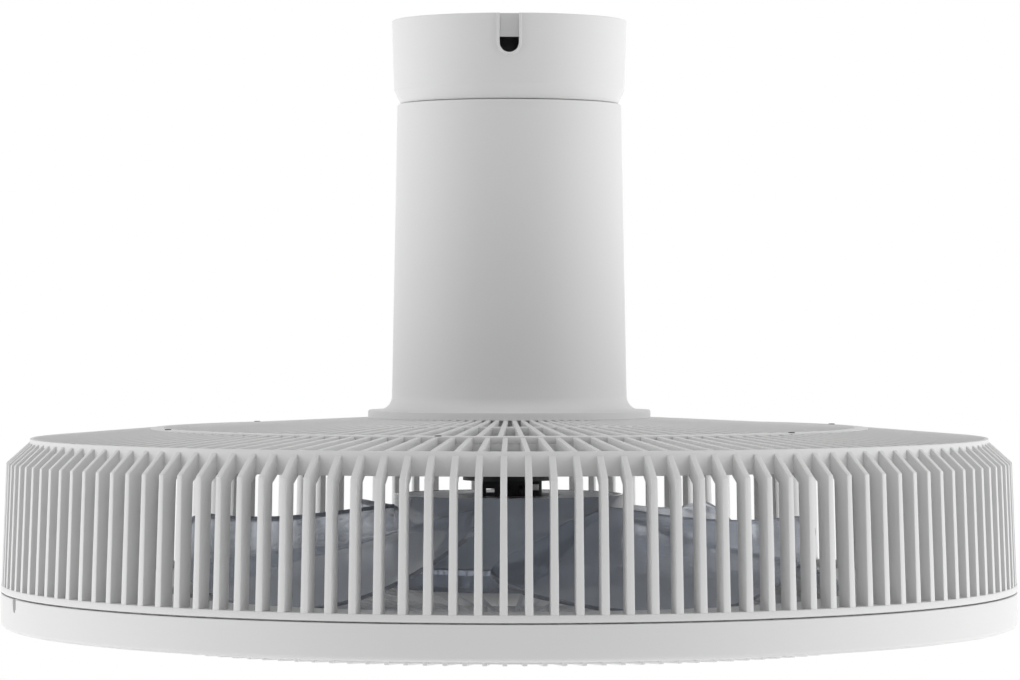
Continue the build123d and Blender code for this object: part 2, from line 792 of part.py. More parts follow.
# Motor mount: a black casting bolted under the hub plate, with a window and the bearing tube
tube_bottom = lower_bearing_bottom - 0.5
window_edge = mount_block_width / 2 - 4.5
with BuildPart() as motor_mount:
    ring(mount_bore, foot_flange_radius, mount_flange_bottom, plate_bottom)
    ring(mount_bore, mount_body_radius, block_top, mount_flange_bottom)
    with BuildSketch(Plane.XY.offset(block_bottom)):
        RectangleRounded(mount_block_width, mount_block_width, 2.0)
        Circle(mount_bore, mode=Mode.SUBTRACT)
    extrude(amount=mount_block_height)
    ring(mount_bore, bearing_tube_radius, tube_bottom, block_bottom)
    ring(0.0, bearing_radius + screw_fit, tube_bottom, upper_bearing_top, Mode.SUBTRACT)
    with BuildSketch(Plane.XZ.offset(-mount_block_width)):
        with Locations((-window_edge + mount_window_width / 2, block_top - 7.0)):
            Rectangle(mount_window_width, mount_window_height)
    extrude(amount=2 * mount_block_width, mode=Mode.SUBTRACT)
    drill(foot_bolt_planes, bolt_shank + screw_fit, foot_bolt_length)
motor_mount.part.label = "motor_mount"
export_step(motor_mount.part, "parts/motor_mount.step")

with BuildPart() as mount_bolts:
    with Locations(*foot_bolt_planes):
        add(pan_screw(bolt_head, bolt_head_height, bolt_shank, foot_bolt_length))
mount_bolts.part.label = "mount_bolts"
export_step(mount_bolts.part, "parts/mount_bolts.step")

# Motor lead: the loop of wire in front of the mount block, and the clip beside it
lead_front = -mount_block_width / 2
lead_top = block_top - 3.0
with BuildPart() as motor_lead:
    with BuildLine():
        FilletPolyline(
            (0, lead_front, lead_top),
            (0, lead_front - lead_loop_reach, lead_top),
            (0, lead_front - lead_loop_reach, lead_top - lead_loop_height),
            (lead_loop_width, lead_front - lead_loop_reach, lead_top - lead_loop_height),
            (lead_loop_width, lead_front - lead_loop_reach, lead_top),
            (lead_loop_width, lead_front, lead_top),
            radius=lead_bend,
        )
    with BuildSketch(Plane(origin=(0, lead_front, lead_top), z_dir=(0, -1, 0))):
        Circle(lead_radius)
    sweep()
motor_lead.part.label = "motor_lead"
export_step(motor_lead.part, "parts/motor_lead.step")

with BuildPart() as lead_clip:
    with Locations((lead_loop_width + lead_radius + 1.0, lead_front, lead_top)):
        Box(clip_width, clip_depth, clip_height, align=(Align.MIN, Align.MAX, Align.CENTER))
    fillet(lead_clip.faces().sort_by(Axis.Y)[0].edges(), 0.6)
lead_clip.part.label = "lead_clip"
export_step(lead_clip.part, "parts/lead_clip.step")

# Stator: slotted core on the bearing tube, with one coil round each tooth
yoke_radius = bearing_tube_radius + screw_fit + core_yoke
tip_radius = core_radius - tooth_tip_height
with BuildPart() as stator_core:
    with BuildSketch(Plane.XY.offset(core_bottom)):
        Circle(tip_radius)
        Circle(yoke_radius, mode=Mode.SUBTRACT)
        with PolarLocations((tip_radius + yoke_radius) / 2, tooth_count):
            Rectangle(tip_radius - yoke_radius + 2 * tooth_width, tooth_width, mode=Mode.INTERSECT)
        Circle(yoke_radius + 0.5)
        Circle(bearing_tube_radius + screw_fit, mode=Mode.SUBTRACT)
    extrude(amount=core_height)
    with BuildSketch(Plane.XY.offset(core_bottom)):
        Circle(core_radius)
        Circle(tip_radius, mode=Mode.SUBTRACT)
        with PolarLocations(core_radius, tooth_count, start_angle=180.0 / tooth_count):
            Rectangle(4 * tooth_tip_height, tooth_gap, mode=Mode.SUBTRACT)
    extrude(amount=core_height)
stator_core.part.label = "stator_core"
export_step(stator_core.part, "parts/stator_core.step")

coil_length = tip_radius - yoke_radius - 3.0
coil_middle = (tip_radius + yoke_radius) / 2
with BuildPart() as coil:
    Box(coil_length, tooth_width + 2 * coil_build, core_height + 2 * coil_build)
    fillet(coil.edges().filter_by(Axis.X), coil_build)
    Box(coil_length, tooth_width + 2 * screw_fit, core_height + 2 * screw_fit, mode=Mode.SUBTRACT)

with BuildPart() as stator_coils:
    with Locations((0, 0, (core_top + core_bottom) / 2)):
        with PolarLocations(coil_middle, tooth_count):
            add(coil.part)
stator_coils.part.label = "stator_coils"
export_step(stator_coils.part, "parts/stator_coils.step")

# Ball bearings: one solid each, with the shields set back
shield_step = 0.6
race_wall = 2.0


def bearing_outline(top):
    """Outline of a shielded bearing hanging down from a height."""
    bottom = top - bearing_height
    return [
        (bearing_bore, bottom),
        (bearing_bore + race_wall, bottom),
        (bearing_bore + race_wall, bottom + shield_step),
        (bearing_radius - race_wall, bottom + shield_step),
        (bearing_radius - race_wall, bottom),
        (bearing_radius, bottom),
        (bearing_radius, top),
        (bearing_radius - race_wall, top),
        (bearing_radius - race_wall, top - shield_step),
        (bearing_bore + race_wall, top - shield_step),
        (bearing_bore + race_wall, top),
        (bearing_bore, top),
    ]


with BuildPart() as upper_bearing:
    turned(bearing_outline(upper_bearing_top))
upper_bearing.part.label = "upper_bearing"
export_step(upper_bearing.part, "parts/upper_bearing.step")

with BuildPart() as lower_bearing:
    turned(bearing_outline(lower_bearing_top))
lower_bearing.part.label = "lower_bearing"
export_step(lower_bearing.part, "parts/lower_bearing.step")

with BuildPart() as bearing_spacer:
    ring(bearing_radius - race_wall, bearing_radius, lower_bearing_top, lower_bearing_top + bearing_spacing)
bearing_spacer.part.label = "bearing_spacer"
export_step(bearing_spacer.part, "parts/bearing_spacer.step")

# Shaft with a groove for its clip at the top and the nut's thread at the bottom
shaft_radius = bearing_bore - bearing_fit
clip_bottom = upper_bearing_top + slip
clip_top = clip_bottom + 1.0
groove_radius = shaft_radius - 0.6
with BuildPart() as motor_shaft:
    turned([
        (0, clip_top + 2.5),
        (shaft_radius, clip_top + 2.5),
        (shaft_radius, clip_top + screw_fit),
        (groove_radius, clip_top + screw_fit),
        (groove_radius, clip_bottom - screw_fit),
        (shaft_radius, clip_bottom - screw_fit),
        (shaft_radius, nut_bottom - 0.6),
        (0, nut_bottom - 0.6),
    ])
motor_shaft.part.label = "motor_shaft"
export_step(motor_shaft.part, "parts/motor_shaft.step")

with BuildPart() as shaft_clip:
    ring(groove_radius + screw_fit, shaft_radius + 2.4, clip_bottom, clip_top)
    with Locations((shaft_radius + 1.0, 0, clip_bottom)):
        Box(
            2 * shaft_radius,
            shaft_radius,
            4.0,
            align=(Align.MIN, Align.CENTER, Align.CENTER),
            mode=Mode.SUBTRACT,
        )
shaft_clip.part.label = "shaft_clip"
export_step(shaft_clip.part, "parts/shaft_clip.step")

# Motor bell: the silver steel can that turns round the stator, with the magnet ring inside
with BuildPart() as motor_bell:
    turned([
        (shaft_radius + screw_fit, bell_bottom),
        (bell_radius, bell_bottom),
        (bell_radius, bell_lip),
        (bell_radius - bell_wall, bell_lip),
        (bell_radius - bell_wall, bell_floor_top),
        (shaft_radius + screw_fit, bell_floor_top),
    ])
    fillet(motor_bell.edges().group_by(Axis.Z)[0].sort_by(SortBy.LENGTH)[-1], bell_wall / 2)
    vent_planes = [
        facing_up(bearing, impeller_screw_circle, bell_floor_top)
        for bearing in spread(bell_vent_count, 180.0 / bell_vent_count)
    ]
    drill(vent_planes, bell_vent_radius, bell_floor)
    drill(impeller_screw_planes, medium_shank + screw_fit, impeller_screw_length)
motor_bell.part.label = "motor_bell"
export_step(motor_bell.part, "parts/motor_bell.step")

with BuildPart() as bell_cover:
    ring(bell_cover_bore, bell_radius, bell_lip, bell_top)
bell_cover.part.label = "bell_cover"
export_step(bell_cover.part, "parts/bell_cover.step")

magnet_middle = (core_top + core_bottom) / 2
with BuildPart() as magnet_ring:
    ring(magnet_inner, magnet_outer, magnet_middle - magnet_height / 2, magnet_middle + magnet_height / 2)
magnet_ring.part.label = "magnet_ring"
export_step(magnet_ring.part, "parts/magnet_ring.step")


# Impeller: a hub cup round the bell and broad blades moulded with it
def on_circle(radius, bearing):
    """A point of the plan at a radius and a bearing counted from the first blade's trailing corner."""
    angle = radians(blade_bearing + bearing - 90.0)
    return (radius * cos(angle), radius * sin(angle))


def blade_reach(radius):
    """How far out a radius lies on the blade, from 0 at the hub to 1 at the tip."""
    return (radius - impeller_hub_radius) / (impeller_radius - impeller_hub_radius)


def blade_point(bearing, radius):
    """A point of the blade's middle surface: nearly level at the hub, a long curl at the tip."""
    if bearing < tip_low_bearing:
        turn = radians(180.0 * (bearing - tip_low_bearing) / trailing_half_turn)
        rise = trailing_rise * (1.0 - cos(turn))
    else:
        along_tip = (bearing - tip_low_bearing) / (blade_tip_end - tip_low_bearing)
        rise = leading_rise * along_tip**leading_power
    tip = hub_bottom - tip_low_drop + rise
    along_root = (bearing - blade_root_start) / (blade_root_end - blade_root_start)
    root = hub_bottom + blade_root_low + (blade_root_high - blade_root_low) * along_root
    return (*on_circle(radius, bearing), root + (tip - root) * max(blade_reach(radius), 0.0) ** fall_power)


def trailing_point(radius):
    """A point of the trailing edge in plan, which sweeps forward close to the hub."""
    return on_circle(radius, blade_root_start * (1.0 - blade_reach(radius)) ** trailing_edge_power)


def leading_point(radius):
    """A point of the leading edge in plan."""
    return on_circle(radius, blade_root_end + (blade_tip_end - blade_root_end) * blade_reach(radius))


blade_root = impeller_hub_radius - impeller_hub_wall / 2
blade_margin = 8.0
blade_radii = [
    blade_root - blade_margin + (impeller_radius - blade_root + 2 * blade_margin) * step / 8 for step in range(9)
]
blade_bearings = [blade_net_step * step for step in range(-2, ceil(blade_tip_end / blade_net_step) + 3)]
blade_surface = Face.make_surface_from_array_of_points(
    [[blade_point(bearing, radius) for bearing in blade_bearings] for radius in blade_radii], tol=0.02
)
edge_radii = [blade_root + (impeller_radius - blade_root) * step / 8 for step in range(9)]
with BuildPart() as blade:
    thicken(blade_surface, amount=blade_thickness / 2, both=True)
    with BuildSketch(Plane.XY.offset(hub_bottom - 2 * tip_low_drop)) as blade_plan:
        with BuildLine():
            trailing = Spline(*[trailing_point(radius) for radius in edge_radii])
            tip_edge = ThreePointArc(
                trailing @ 1,
                on_circle(impeller_radius, blade_tip_end / 2),
                on_circle(impeller_radius, blade_tip_end),
            )
            leading = Spline(*[leading_point(radius) for radius in reversed(edge_radii)])
            ThreePointArc(
                leading @ 1,
                on_circle(blade_root, (blade_root_start + blade_root_end) / 2),
                trailing @ 0,
            )
        make_face()
        fillet(blade_plan.vertices().sort_by_distance(on_circle(impeller_radius, 0.0))[0], trailing_corner)
        fillet(blade_plan.vertices().sort_by_distance(on_circle(impeller_radius, blade_tip_end))[0], leading_corner)
    extrude(amount=impeller_hub_height + 4 * tip_low_drop, mode=Mode.INTERSECT)

with BuildPart() as impeller:
    ring(impeller_hub_radius - impeller_hub_wall, impeller_hub_radius, hub_bottom, hub_top)
    ring(shaft_radius + screw_fit, impeller_hub_radius - impeller_hub_wall / 2, web_bottom, web_top)
    drill(impeller_screw_planes, medium_shank + screw_fit, impeller_screw_length)
    with PolarLocations(0, blade_count):
        add(blade.part)
impeller.part.label = "impeller"
export_step(impeller.part, "parts/impeller.step")

with BuildPart() as impeller_screws:
    with Locations(*impeller_screw_planes):
        add(pan_screw(medium_head, medium_head_height, medium_shank, impeller_screw_length))
impeller_screws.part.label = "impeller_screws"
export_step(impeller_screws.part, "parts/impeller_screws.step")

with BuildPart() as impeller_nut:
    with BuildSketch(Plane.XY.offset(nut_bottom)):
        RegularPolygon(impeller_nut_flats / 2, 6, major_radius=False)
        Circle(shaft_radius + screw_fit, mode=Mode.SUBTRACT)
    extrude(amount=impeller_nut_height)
impeller_nut.part.label = "impeller_nut"
export_step(impeller_nut.part, "parts/impeller_nut.step")

# Hub cap: a shallow dish snapped into the skirt of the hub
hub_cap_radius = impeller_hub_radius - impeller_hub_wall - slip
with BuildPart() as hub_cap:
    ring(0.0, hub_cap_radius, hub_bottom, hub_bottom + hub_cap_height)
    fillet(hub_cap.edges().group_by(Axis.Z)[0], 1.2)
hub_cap.part.label = "hub_cap"
export_step(hub_cap.part, "parts/hub_cap.step")

# Lower housing: the plain band, the tray that closes the cage outside the throat, and the grille's wall
lug_top = tray_bottom - lug_drop - lug_height / 2
lug_bottom = lug_top - lug_height
groove_end = lug_arc / 2 + 0.5
with BuildPart() as lower_housing:
    turned([
        (collar_inner_radius, cage_bottom),
        (seat_outer_radius, cage_bottom),
        (seat_outer_radius, band_top),
        (cage_radius, band_top),
        (cage_radius, band_bottom),
        (band_inner_radius, band_bottom),
        (band_inner_radius, tray_bottom),
        (outlet_wall_outer, tray_bottom),
        (outlet_wall_outer, outlet_wall_bottom),
        (outlet_wall_inner, outlet_wall_bottom),
        (outlet_wall_inner, tray_bottom),
        (throat_radius + tray_thickness, tray_bottom),
        (throat_radius + tray_thickness, tray_bottom - throat_collar_height),
        (throat_radius, tray_bottom - throat_collar_height),
        (throat_radius, band_top),
        (collar_inner_radius, band_top),
    ])
    outer_edges = lower_housing.edges().filter_by(GeomType.CIRCLE)
    fillet(
        outer_edges.filter_by(lambda edge: edge.radius > cage_radius - 0.1).sort_by(Axis.Z)[0],
        band_edge_rounding,
    )
    throat_edges = lower_housing.edges().filter_by(GeomType.CIRCLE)
    fillet(
        throat_edges.filter_by(lambda edge: edge.radius < throat_radius + 0.1).sort_by(Axis.Z)[-1],
        tray_thickness - 0.3,
    )
    with Locations(outward_plane(notch_bearing, cage_radius - notch_depth, band_top)):
        with BuildPart(mode=Mode.PRIVATE) as notch:
            with BuildSketch():
                SlotOverall(2 * notch_height, notch_width, rotation=90)
            extrude(amount=2 * notch_depth)
        add(notch.part, mode=Mode.SUBTRACT)
    drill(housing_screw_planes, small_shank + 2 * screw_fit, housing_screw_length)
    drill(board_screw_planes, medium_shank + screw_fit, board_screw_length)
    for bearing in spread(lug_count, lug_bearing):
        turned(
            [
                (outlet_wall_inner - 1.0, lug_bottom - slip),
                (outlet_wall_inner + lug_reach, lug_bottom - slip),
                (outlet_wall_inner + lug_reach, lug_top + slip),
                (outlet_wall_inner - 1.0, lug_top + slip),
            ],
            Mode.SUBTRACT,
            bearing - groove_end,
            2 * groove_end + twist_angle,
        )
        turned(
            [
                (outlet_wall_inner - 1.0, outlet_wall_bottom - 1.0),
                (outlet_wall_inner + lug_reach, outlet_wall_bottom - 1.0),
                (outlet_wall_inner + lug_reach, lug_top + slip),
                (outlet_wall_inner - 1.0, lug_top + slip),
            ],
            Mode.SUBTRACT,
            bearing - groove_end + twist_angle,
            2 * groove_end,
        )
lower_housing.part.label = "lower_housing"
export_step(lower_housing.part, "parts/lower_housing.step")

with BuildPart() as housing_screws:
    with Locations(*housing_screw_planes):
        add(pan_screw(small_head, small_head_height, small_shank, housing_screw_length))
housing_screws.part.label = "housing_screws"
export_step(housing_screws.part, "parts/housing_screws.step")

# Lamp board: an aluminium ring under the tray, its light chips and its screws
with BuildPart() as lamp_board:
    ring(lamp_inner, lamp_outer, tray_bottom - lamp_board_thickness, tray_bottom)
    drill(board_screw_planes, medium_shank + screw_fit, board_screw_length)
lamp_board.part.label = "lamp_board"
export_step(lamp_board.part, "parts/lamp_board.step")

with BuildPart() as lamp_chips:
    for chip_side in (-1, 1):
        with Locations((0, 0, tray_bottom - lamp_board_thickness)):
            with PolarLocations(
                lamp_middle + chip_side * chip_ring_gap / 2, chip_count, start_angle=chip_side * 90.0 / chip_count
            ):
                Box(chip_width, chip_length, chip_height, align=(Align.CENTER, Align.CENTER, Align.MAX))
lamp_chips.part.label = "lamp_chips"
export_step(lamp_chips.part, "parts/lamp_chips.step")

with BuildPart() as board_screws:
    with Locations(*board_screw_planes):
        add(pan_screw(medium_head, medium_head_height, medium_shank, board_screw_length))
board_screws.part.label = "board_screws"
export_step(board_screws.part, "parts/board_screws.step")

# Light diffuser: a white ring that falls slightly towards the outlet, snapped in between the two walls
with BuildPart() as light_diffuser:
    turned([
        (diffuser_outer, band_bottom),
        (diffuser_outer, band_bottom + diffuser_rim_height),
        (diffuser_outer - diffuser_rim_width, band_bottom + diffuser_rim_height),
        (diffuser_outer - diffuser_rim_width, band_bottom + diffuser_thickness),
        (diffuser_inner + diffuser_rim_width, outlet_wall_bottom + diffuser_thickness),
        (diffuser_inner + diffuser_rim_width, outlet_wall_bottom + diffuser_rim_height),
        (diffuser_inner, outlet_wall_bottom + diffuser_rim_height),
        (diffuser_inner, outlet_wall_bottom),
    ])
light_diffuser.part.label = "light_diffuser"
export_step(light_diffuser.part, "parts/light_diffuser.step")


# Outlet grille: a shallow dish of ribs that turns a little to come off
def outlet_height(radius):
    """Height of the bottom of the outlet ribs at a radius."""
    return outlet_wall_bottom - outlet_drop - (outlet_radius - radius) * outlet_slope


def outlet_rib(inner, outer):
    """Outline of an outlet rib between two radii."""
    return [
        (inner, outlet_height(inner)),
        (outer, outlet_height(outer)),
        (outer, outlet_height(outer) + outlet_rib_depth),
        (inner, outlet_height(inner) + outlet_rib_depth),
    ]


rim_outer = outlet_radius - outlet_rib_relief
rim_inner = rim_outer - outlet_rim_wall
outlet_stretches = [
    (outlet_middle_radius, outlet_radius, rib_count),
    (outlet_inner_radius, outlet_middle_radius, rib_count // 2),
    (outlet_hub_radius - 1.0, outlet_inner_radius, rib_count // 4),
]
outlet_ribs = []
for stretch_inner, stretch_outer, stretch_count in outlet_stretches:
    with BuildPart() as stretch_rib:
        with BuildSketch(Plane.XZ):
            with BuildLine():
                Polyline(*outlet_rib(stretch_inner, stretch_outer), close=True)
            make_face()
        extrude(amount=outlet_rib_width / 2, both=True)
    outlet_ribs.append((stretch_rib.part, stretch_count))

outlet_hub_bottom = outlet_height(outlet_hub_radius) - grille_ring_step
with BuildPart() as bottom_grille:
    for radius in (outlet_middle_radius, outlet_inner_radius):
        ring(
            radius - outlet_ring_width / 2,
            radius + outlet_ring_width / 2,
            outlet_height(radius) + 1.0,
            outlet_height(radius) + outlet_rib_depth - grille_ring_step,
        )
    ring(
        rim_inner,
        rim_outer,
        outlet_height(rim_outer) + outlet_rib_relief,
        outlet_height(rim_outer) + outlet_rib_depth + grille_ring_step,
    )
    for bearing in spread(lug_count, lug_bearing):
        turned(
            [
                (rim_outer - 1.0, lug_bottom),
                (outlet_radius + lug_reach, lug_bottom),
                (outlet_radius + lug_reach, lug_top),
                (rim_outer - 1.0, lug_top),
            ],
            Mode.ADD,
            bearing - lug_arc / 2,
            lug_arc,
        )
    turned([
        (0, outlet_hub_bottom),
        (outlet_hub_radius, outlet_hub_bottom),
        (outlet_hub_radius, outlet_hub_bottom + outlet_rib_depth + 2 * grille_ring_step),
        (outlet_hub_radius - outlet_ring_width, outlet_hub_bottom + outlet_rib_depth + 2 * grille_ring_step),
        (outlet_hub_radius - outlet_ring_width, outlet_hub_bottom + outlet_hub_height),
        (0, outlet_hub_bottom + outlet_hub_height),
    ])
    for rib, count in outlet_ribs:
        with PolarLocations(0, count, start_angle=first_rib_bearing - 90.0):
            add(rib, clean=False)
bottom_grille.part.label = "bottom_grille"
export_step(bottom_grille.part, "parts/bottom_grille.step")

# Cap under the middle of the outlet grille
cap_top = outlet_hub_bottom
with BuildPart() as grille_cap:
    ring(0.0, cap_radius, cap_top - cap_height, cap_top)
    fillet(grille_cap.edges().group_by(Axis.Z)[0], cap_height * 0.6)
grille_cap.part.label = "grille_cap"
export_step(grille_cap.part, "parts/grille_cap.step")
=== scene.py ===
"""Looks of a caged ceiling fan: its visible pieces, finishes, light and camera."""

import logging
from collections.abc import Iterator
from contextlib import contextmanager
from dataclasses import dataclass, field
from enum import Enum
from math import atan, cos, degrees, pi, radians, sin, sqrt, tan
from typing import Any

import bpy
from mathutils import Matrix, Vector

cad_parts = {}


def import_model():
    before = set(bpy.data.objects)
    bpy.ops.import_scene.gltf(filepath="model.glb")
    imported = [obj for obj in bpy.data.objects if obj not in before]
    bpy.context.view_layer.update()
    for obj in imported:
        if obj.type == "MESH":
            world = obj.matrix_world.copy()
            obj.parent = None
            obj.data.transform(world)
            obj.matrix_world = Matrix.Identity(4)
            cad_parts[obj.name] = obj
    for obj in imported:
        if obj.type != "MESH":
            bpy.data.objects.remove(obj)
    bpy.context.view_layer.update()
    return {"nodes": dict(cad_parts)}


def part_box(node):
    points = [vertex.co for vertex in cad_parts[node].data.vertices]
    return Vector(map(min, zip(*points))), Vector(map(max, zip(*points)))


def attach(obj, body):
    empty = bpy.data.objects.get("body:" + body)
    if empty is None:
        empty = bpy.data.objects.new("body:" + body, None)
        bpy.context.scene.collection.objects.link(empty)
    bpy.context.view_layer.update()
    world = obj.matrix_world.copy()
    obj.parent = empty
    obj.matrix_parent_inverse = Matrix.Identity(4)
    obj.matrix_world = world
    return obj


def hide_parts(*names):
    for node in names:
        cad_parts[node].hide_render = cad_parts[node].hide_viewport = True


log = logging.getLogger("ceiling_fan")

MM = 0.001
Profile = list[tuple[float, float]]
Piece = bpy.types.Object
Tree = bpy.types.NodeTree
Socket = bpy.types.NodeSocket

# Faces round the axis of a turned piece, and of one about as wide as the cage
FACES = 200
WIDE_FACES = 280
# Widths of the rounding that a mould leaves on a thin edge, a side rib and a ring
THIN_EDGE = 0.3 * MM
RIB_EDGE = 0.35 * MM
RING_EDGE = 0.4 * MM
# How many degrees sharper than the rounded edges an edge may be and still shade smooth
SMOOTH_MARGIN = 8.0
# Points nearer than this are merged, in metres
WELD_DISTANCE = 1e-6
# Bearing of +X, at which a piece stays where it was made
AS_MADE = 90.0


# Small tools for modelling


def clear_selection() -> None:
    """Deselect every object."""
    bpy.ops.object.select_all(action="DESELECT")


def choose(shape: Piece) -> None:
    """Select one object alone and make it active."""
    clear_selection()
    shape.select_set(True)
    bpy.context.view_layer.objects.active = shape


@contextmanager
def editing() -> Iterator[None]:
    """Edit the active mesh inside a with block."""
    bpy.ops.object.mode_set(mode="EDIT")
    yield
    bpy.ops.object.mode_set(mode="OBJECT")


def weld(shape: Piece) -> None:
    """Merge the points of a mesh that coincide, and turn its faces outwards."""
    choose(shape)
    with editing():
        bpy.ops.mesh.select_all(action="SELECT")
        bpy.ops.mesh.remove_doubles(threshold=WELD_DISTANCE)
        bpy.ops.mesh.normals_make_consistent(inside=False)


def settle(shape: Piece) -> None:
    """Put the object at the origin, with its place in its mesh."""
    choose(shape)
    bpy.ops.object.transform_apply(location=True, rotation=True, scale=True)


def apply_modifier(shape: Piece, kind: str, **settings: Any) -> None:
    """Add a modifier with its settings and apply it."""
    choose(shape)
    modifier = shape.modifiers.new(kind.title(), kind)
    for name, value in settings.items():
        setattr(modifier, name, value)
    bpy.ops.object.modifier_apply(modifier=modifier.name)


def shade(shape: Piece, angle: float = 30.0) -> None:
    """Shade a piece smooth, apart from edges sharper than this many degrees."""
    choose(shape)
    bpy.ops.object.shade_smooth_by_angle(angle=radians(angle))


def soften(shape: Piece, width: float, segments: int = 2, angle: float = 32.0) -> None:
    """Round the sharp edges, as a mould or a die leaves them, and shade the rest smooth.

    Args:
        shape: the piece.
        width: width of the rounding in metres.
        segments: number of faces across the rounding.
        angle: edges sharper than this many degrees are rounded.
    """
    limit = {"limit_method": "ANGLE", "angle_limit": radians(angle)}
    apply_modifier(shape, "BEVEL", width=width, segments=segments, **limit)
    shade(shape, angle + SMOOTH_MARGIN)


def turn(name: str, profile: Profile, segments: int = FACES) -> Piece:
    """Model a ring about Z by drawing a circle round its closed profile.

    Args:
        name: name of the piece.
        profile: corners of the section as (radius, height) in metres, in order.
        segments: number of faces round the axis.

    Returns:
        The closed ring.
    """
    clear_selection()
    radius, height = profile[0]
    bpy.ops.mesh.primitive_circle_add(vertices=segments, radius=radius, location=(0, 0, height))
    shape = bpy.context.object
    shape.name = name
    with editing():
        for next_radius, next_height in profile[1:] + profile[:1]:
            rise = (0, 0, next_height - height)
            bpy.ops.mesh.extrude_region_move(TRANSFORM_OT_translate={"value": rise})
            growth = (next_radius / radius, next_radius / radius, 1)
            bpy.ops.transform.resize(value=growth, center_override=(0, 0, next_height))
            radius, height = next_radius, next_height
    weld(shape)
    settle(shape)
    return shape


def curve_points(
    centre: tuple[float, float], radius: float, start: float, end: float, steps: int
) -> Profile:
    """Points of an arc in a (radius, height) section, with its angles in degrees."""
    angles = [radians(start + (end - start) * step / steps) for step in range(steps + 1)]
    return [(centre[0] + radius * cos(angle), centre[1] + radius * sin(angle)) for angle in angles]


def level_section(inner: float, outer: float, first: float, second: float) -> Profile:
    """Corners of a level ring's section, at its first height and then at its second."""
    return [(inner, first), (outer, first), (outer, second), (inner, second)]


def toward(bearing: float) -> float:
    """Angle about Z in radians of a bearing in degrees, which counts from -Y towards +X."""
    return radians(bearing - 90.0)


def plate(name: str, outline: Profile, thickness: float) -> Piece:
    """Cut a flat plate that stands in the XZ plane, centred on it.

    Args:
        name: name of the piece.
        outline: corners as (x, z) in metres, in order.
        thickness: thickness along Y in metres.

    Returns:
        The plate.
    """
    clear_selection()
    bpy.ops.mesh.primitive_circle_add(vertices=len(outline), radius=1.0, fill_type="NGON")
    shape = bpy.context.object
    shape.name = name
    with editing():
        bpy.ops.mesh.select_all(action="DESELECT")
    corners = [vertex.co.copy() for vertex in shape.data.vertices]
    for index, (x, z) in enumerate(outline):
        shape.data.vertices[index].select = True
        with editing():
            bpy.ops.transform.translate(value=Vector((x, -thickness / 2, z)) - corners[index])
            bpy.ops.mesh.select_all(action="DESELECT")
    with editing():
        bpy.ops.mesh.select_all(action="SELECT")
        bpy.ops.mesh.extrude_region_move(TRANSFORM_OT_translate={"value": (0, thickness, 0)})
        bpy.ops.mesh.select_all(action="SELECT")
        bpy.ops.mesh.normals_make_consistent(inside=False)
    return shape


def widen(shape: Piece, below: float, factor: float) -> None:
    """Widen a plate along Y at all its corners below a height."""
    choose(shape)
    with editing():
        bpy.ops.mesh.select_all(action="DESELECT")
    for vertex in shape.data.vertices:
        vertex.select = vertex.co.z < below
    with editing():
        bpy.ops.transform.resize(value=(1, factor, 1), center_override=(0, 0, 0))


def repeat_round(shape: Piece, count: int, first_bearing: float) -> None:
    """Copy a piece evenly round Z.

    Args:
        shape: a piece that stands along +X.
        count: number of copies round the whole circle.
        first_bearing: place of the first copy in degrees, counted from -Y towards +X.
    """
    choose(shape)
    shape.rotation_euler = (0, 0, toward(first_bearing))
    settle(shape)
    bpy.ops.object.empty_add(rotation=(0, 0, 2 * pi / count))
    turner = bpy.context.object
    offset = {"use_relative_offset": False, "use_object_offset": True, "offset_object": turner}
    apply_modifier(shape, "ARRAY", count=count, **offset)
    bpy.data.objects.remove(turner)


def join(name: str, shapes: list[Piece]) -> Piece:
    """Join meshes into one piece and return it."""
    choose(shapes[0])
    for shape in shapes:
        shape.select_set(True)
    bpy.ops.object.join()
    shapes[0].name = name
    shapes[0].data.name = name
    return shapes[0]


def cut(shape: Piece, cutter: Piece) -> None:
    """Cut one piece with another, which is then removed."""
    apply_modifier(shape, "BOOLEAN", operation="DIFFERENCE", object=cutter, solver="EXACT")
    bpy.data.objects.remove(cutter)


# Finishes

WHITE = (1.0, 1.0, 1.0, 1.0)
# The wave node's own multiple of its scale
WAVE_FACTOR = 20.0
WAVE_DISTORTION = 0.4
FINE_DETAIL = 2.0
COARSE_DETAIL = 6.0
NOISE_ROUGHNESS = 0.55
# Slow change of tone over the whole piece
CLOUD_SCALE = 22.0
CLOUD_DETAIL = 3.0
ROUGHNESS_SPREAD = 0.06
LEAST_ROUGHNESS = 0.02
BUMP_STRENGTH = 0.5
SUBSURFACE_DEPTH = 2.0 * MM


def linear(hex_colour: str) -> tuple[float, float, float, float]:
    """Turn an sRGB hex colour to the linear values that a shader takes."""
    levels = [int(hex_colour[index : index + 2], 16) / 255 for index in (1, 3, 5)]
    red, green, blue = [
        level / 12.92 if level <= 0.04045 else ((level + 0.055) / 1.055) ** 2.4 for level in levels
    ]
    return (red, green, blue, 1.0)


def add_node(
    tree: Tree, kind: str, inputs: dict[str | int, Any] | None = None, **settings: Any
) -> bpy.types.Node:
    """Add a node with its settings, and set or link its inputs.

    Args:
        tree: the node tree.
        kind: type name of the node, without ShaderNode.
        inputs: values or output sockets by the name or number of the input.
        settings: attributes of the node.

    Returns:
        The node.
    """
    node = tree.nodes.new("ShaderNode" + kind)
    for name, value in settings.items():
        setattr(node, name, value)
    for key, value in (inputs or {}).items():
        if isinstance(value, Socket):
            tree.links.new(value, node.inputs[key])
        else:
            node.inputs[key].default_value = value
    return node


def combine(tree: Tree, operation: str, first: Socket, second: Socket | float) -> Socket:
    """Add a maths node and return its result."""
    node = add_node(tree, "Math", {0: first, 1: second}, operation=operation)
    return node.outputs[0]


def empty_tree(owner: bpy.types.Material | bpy.types.World) -> Tree:
    """Let a material or a world use nodes, and return its node tree with nothing in it."""
    owner.use_nodes = True
    owner.node_tree.nodes.clear()
    return owner.node_tree


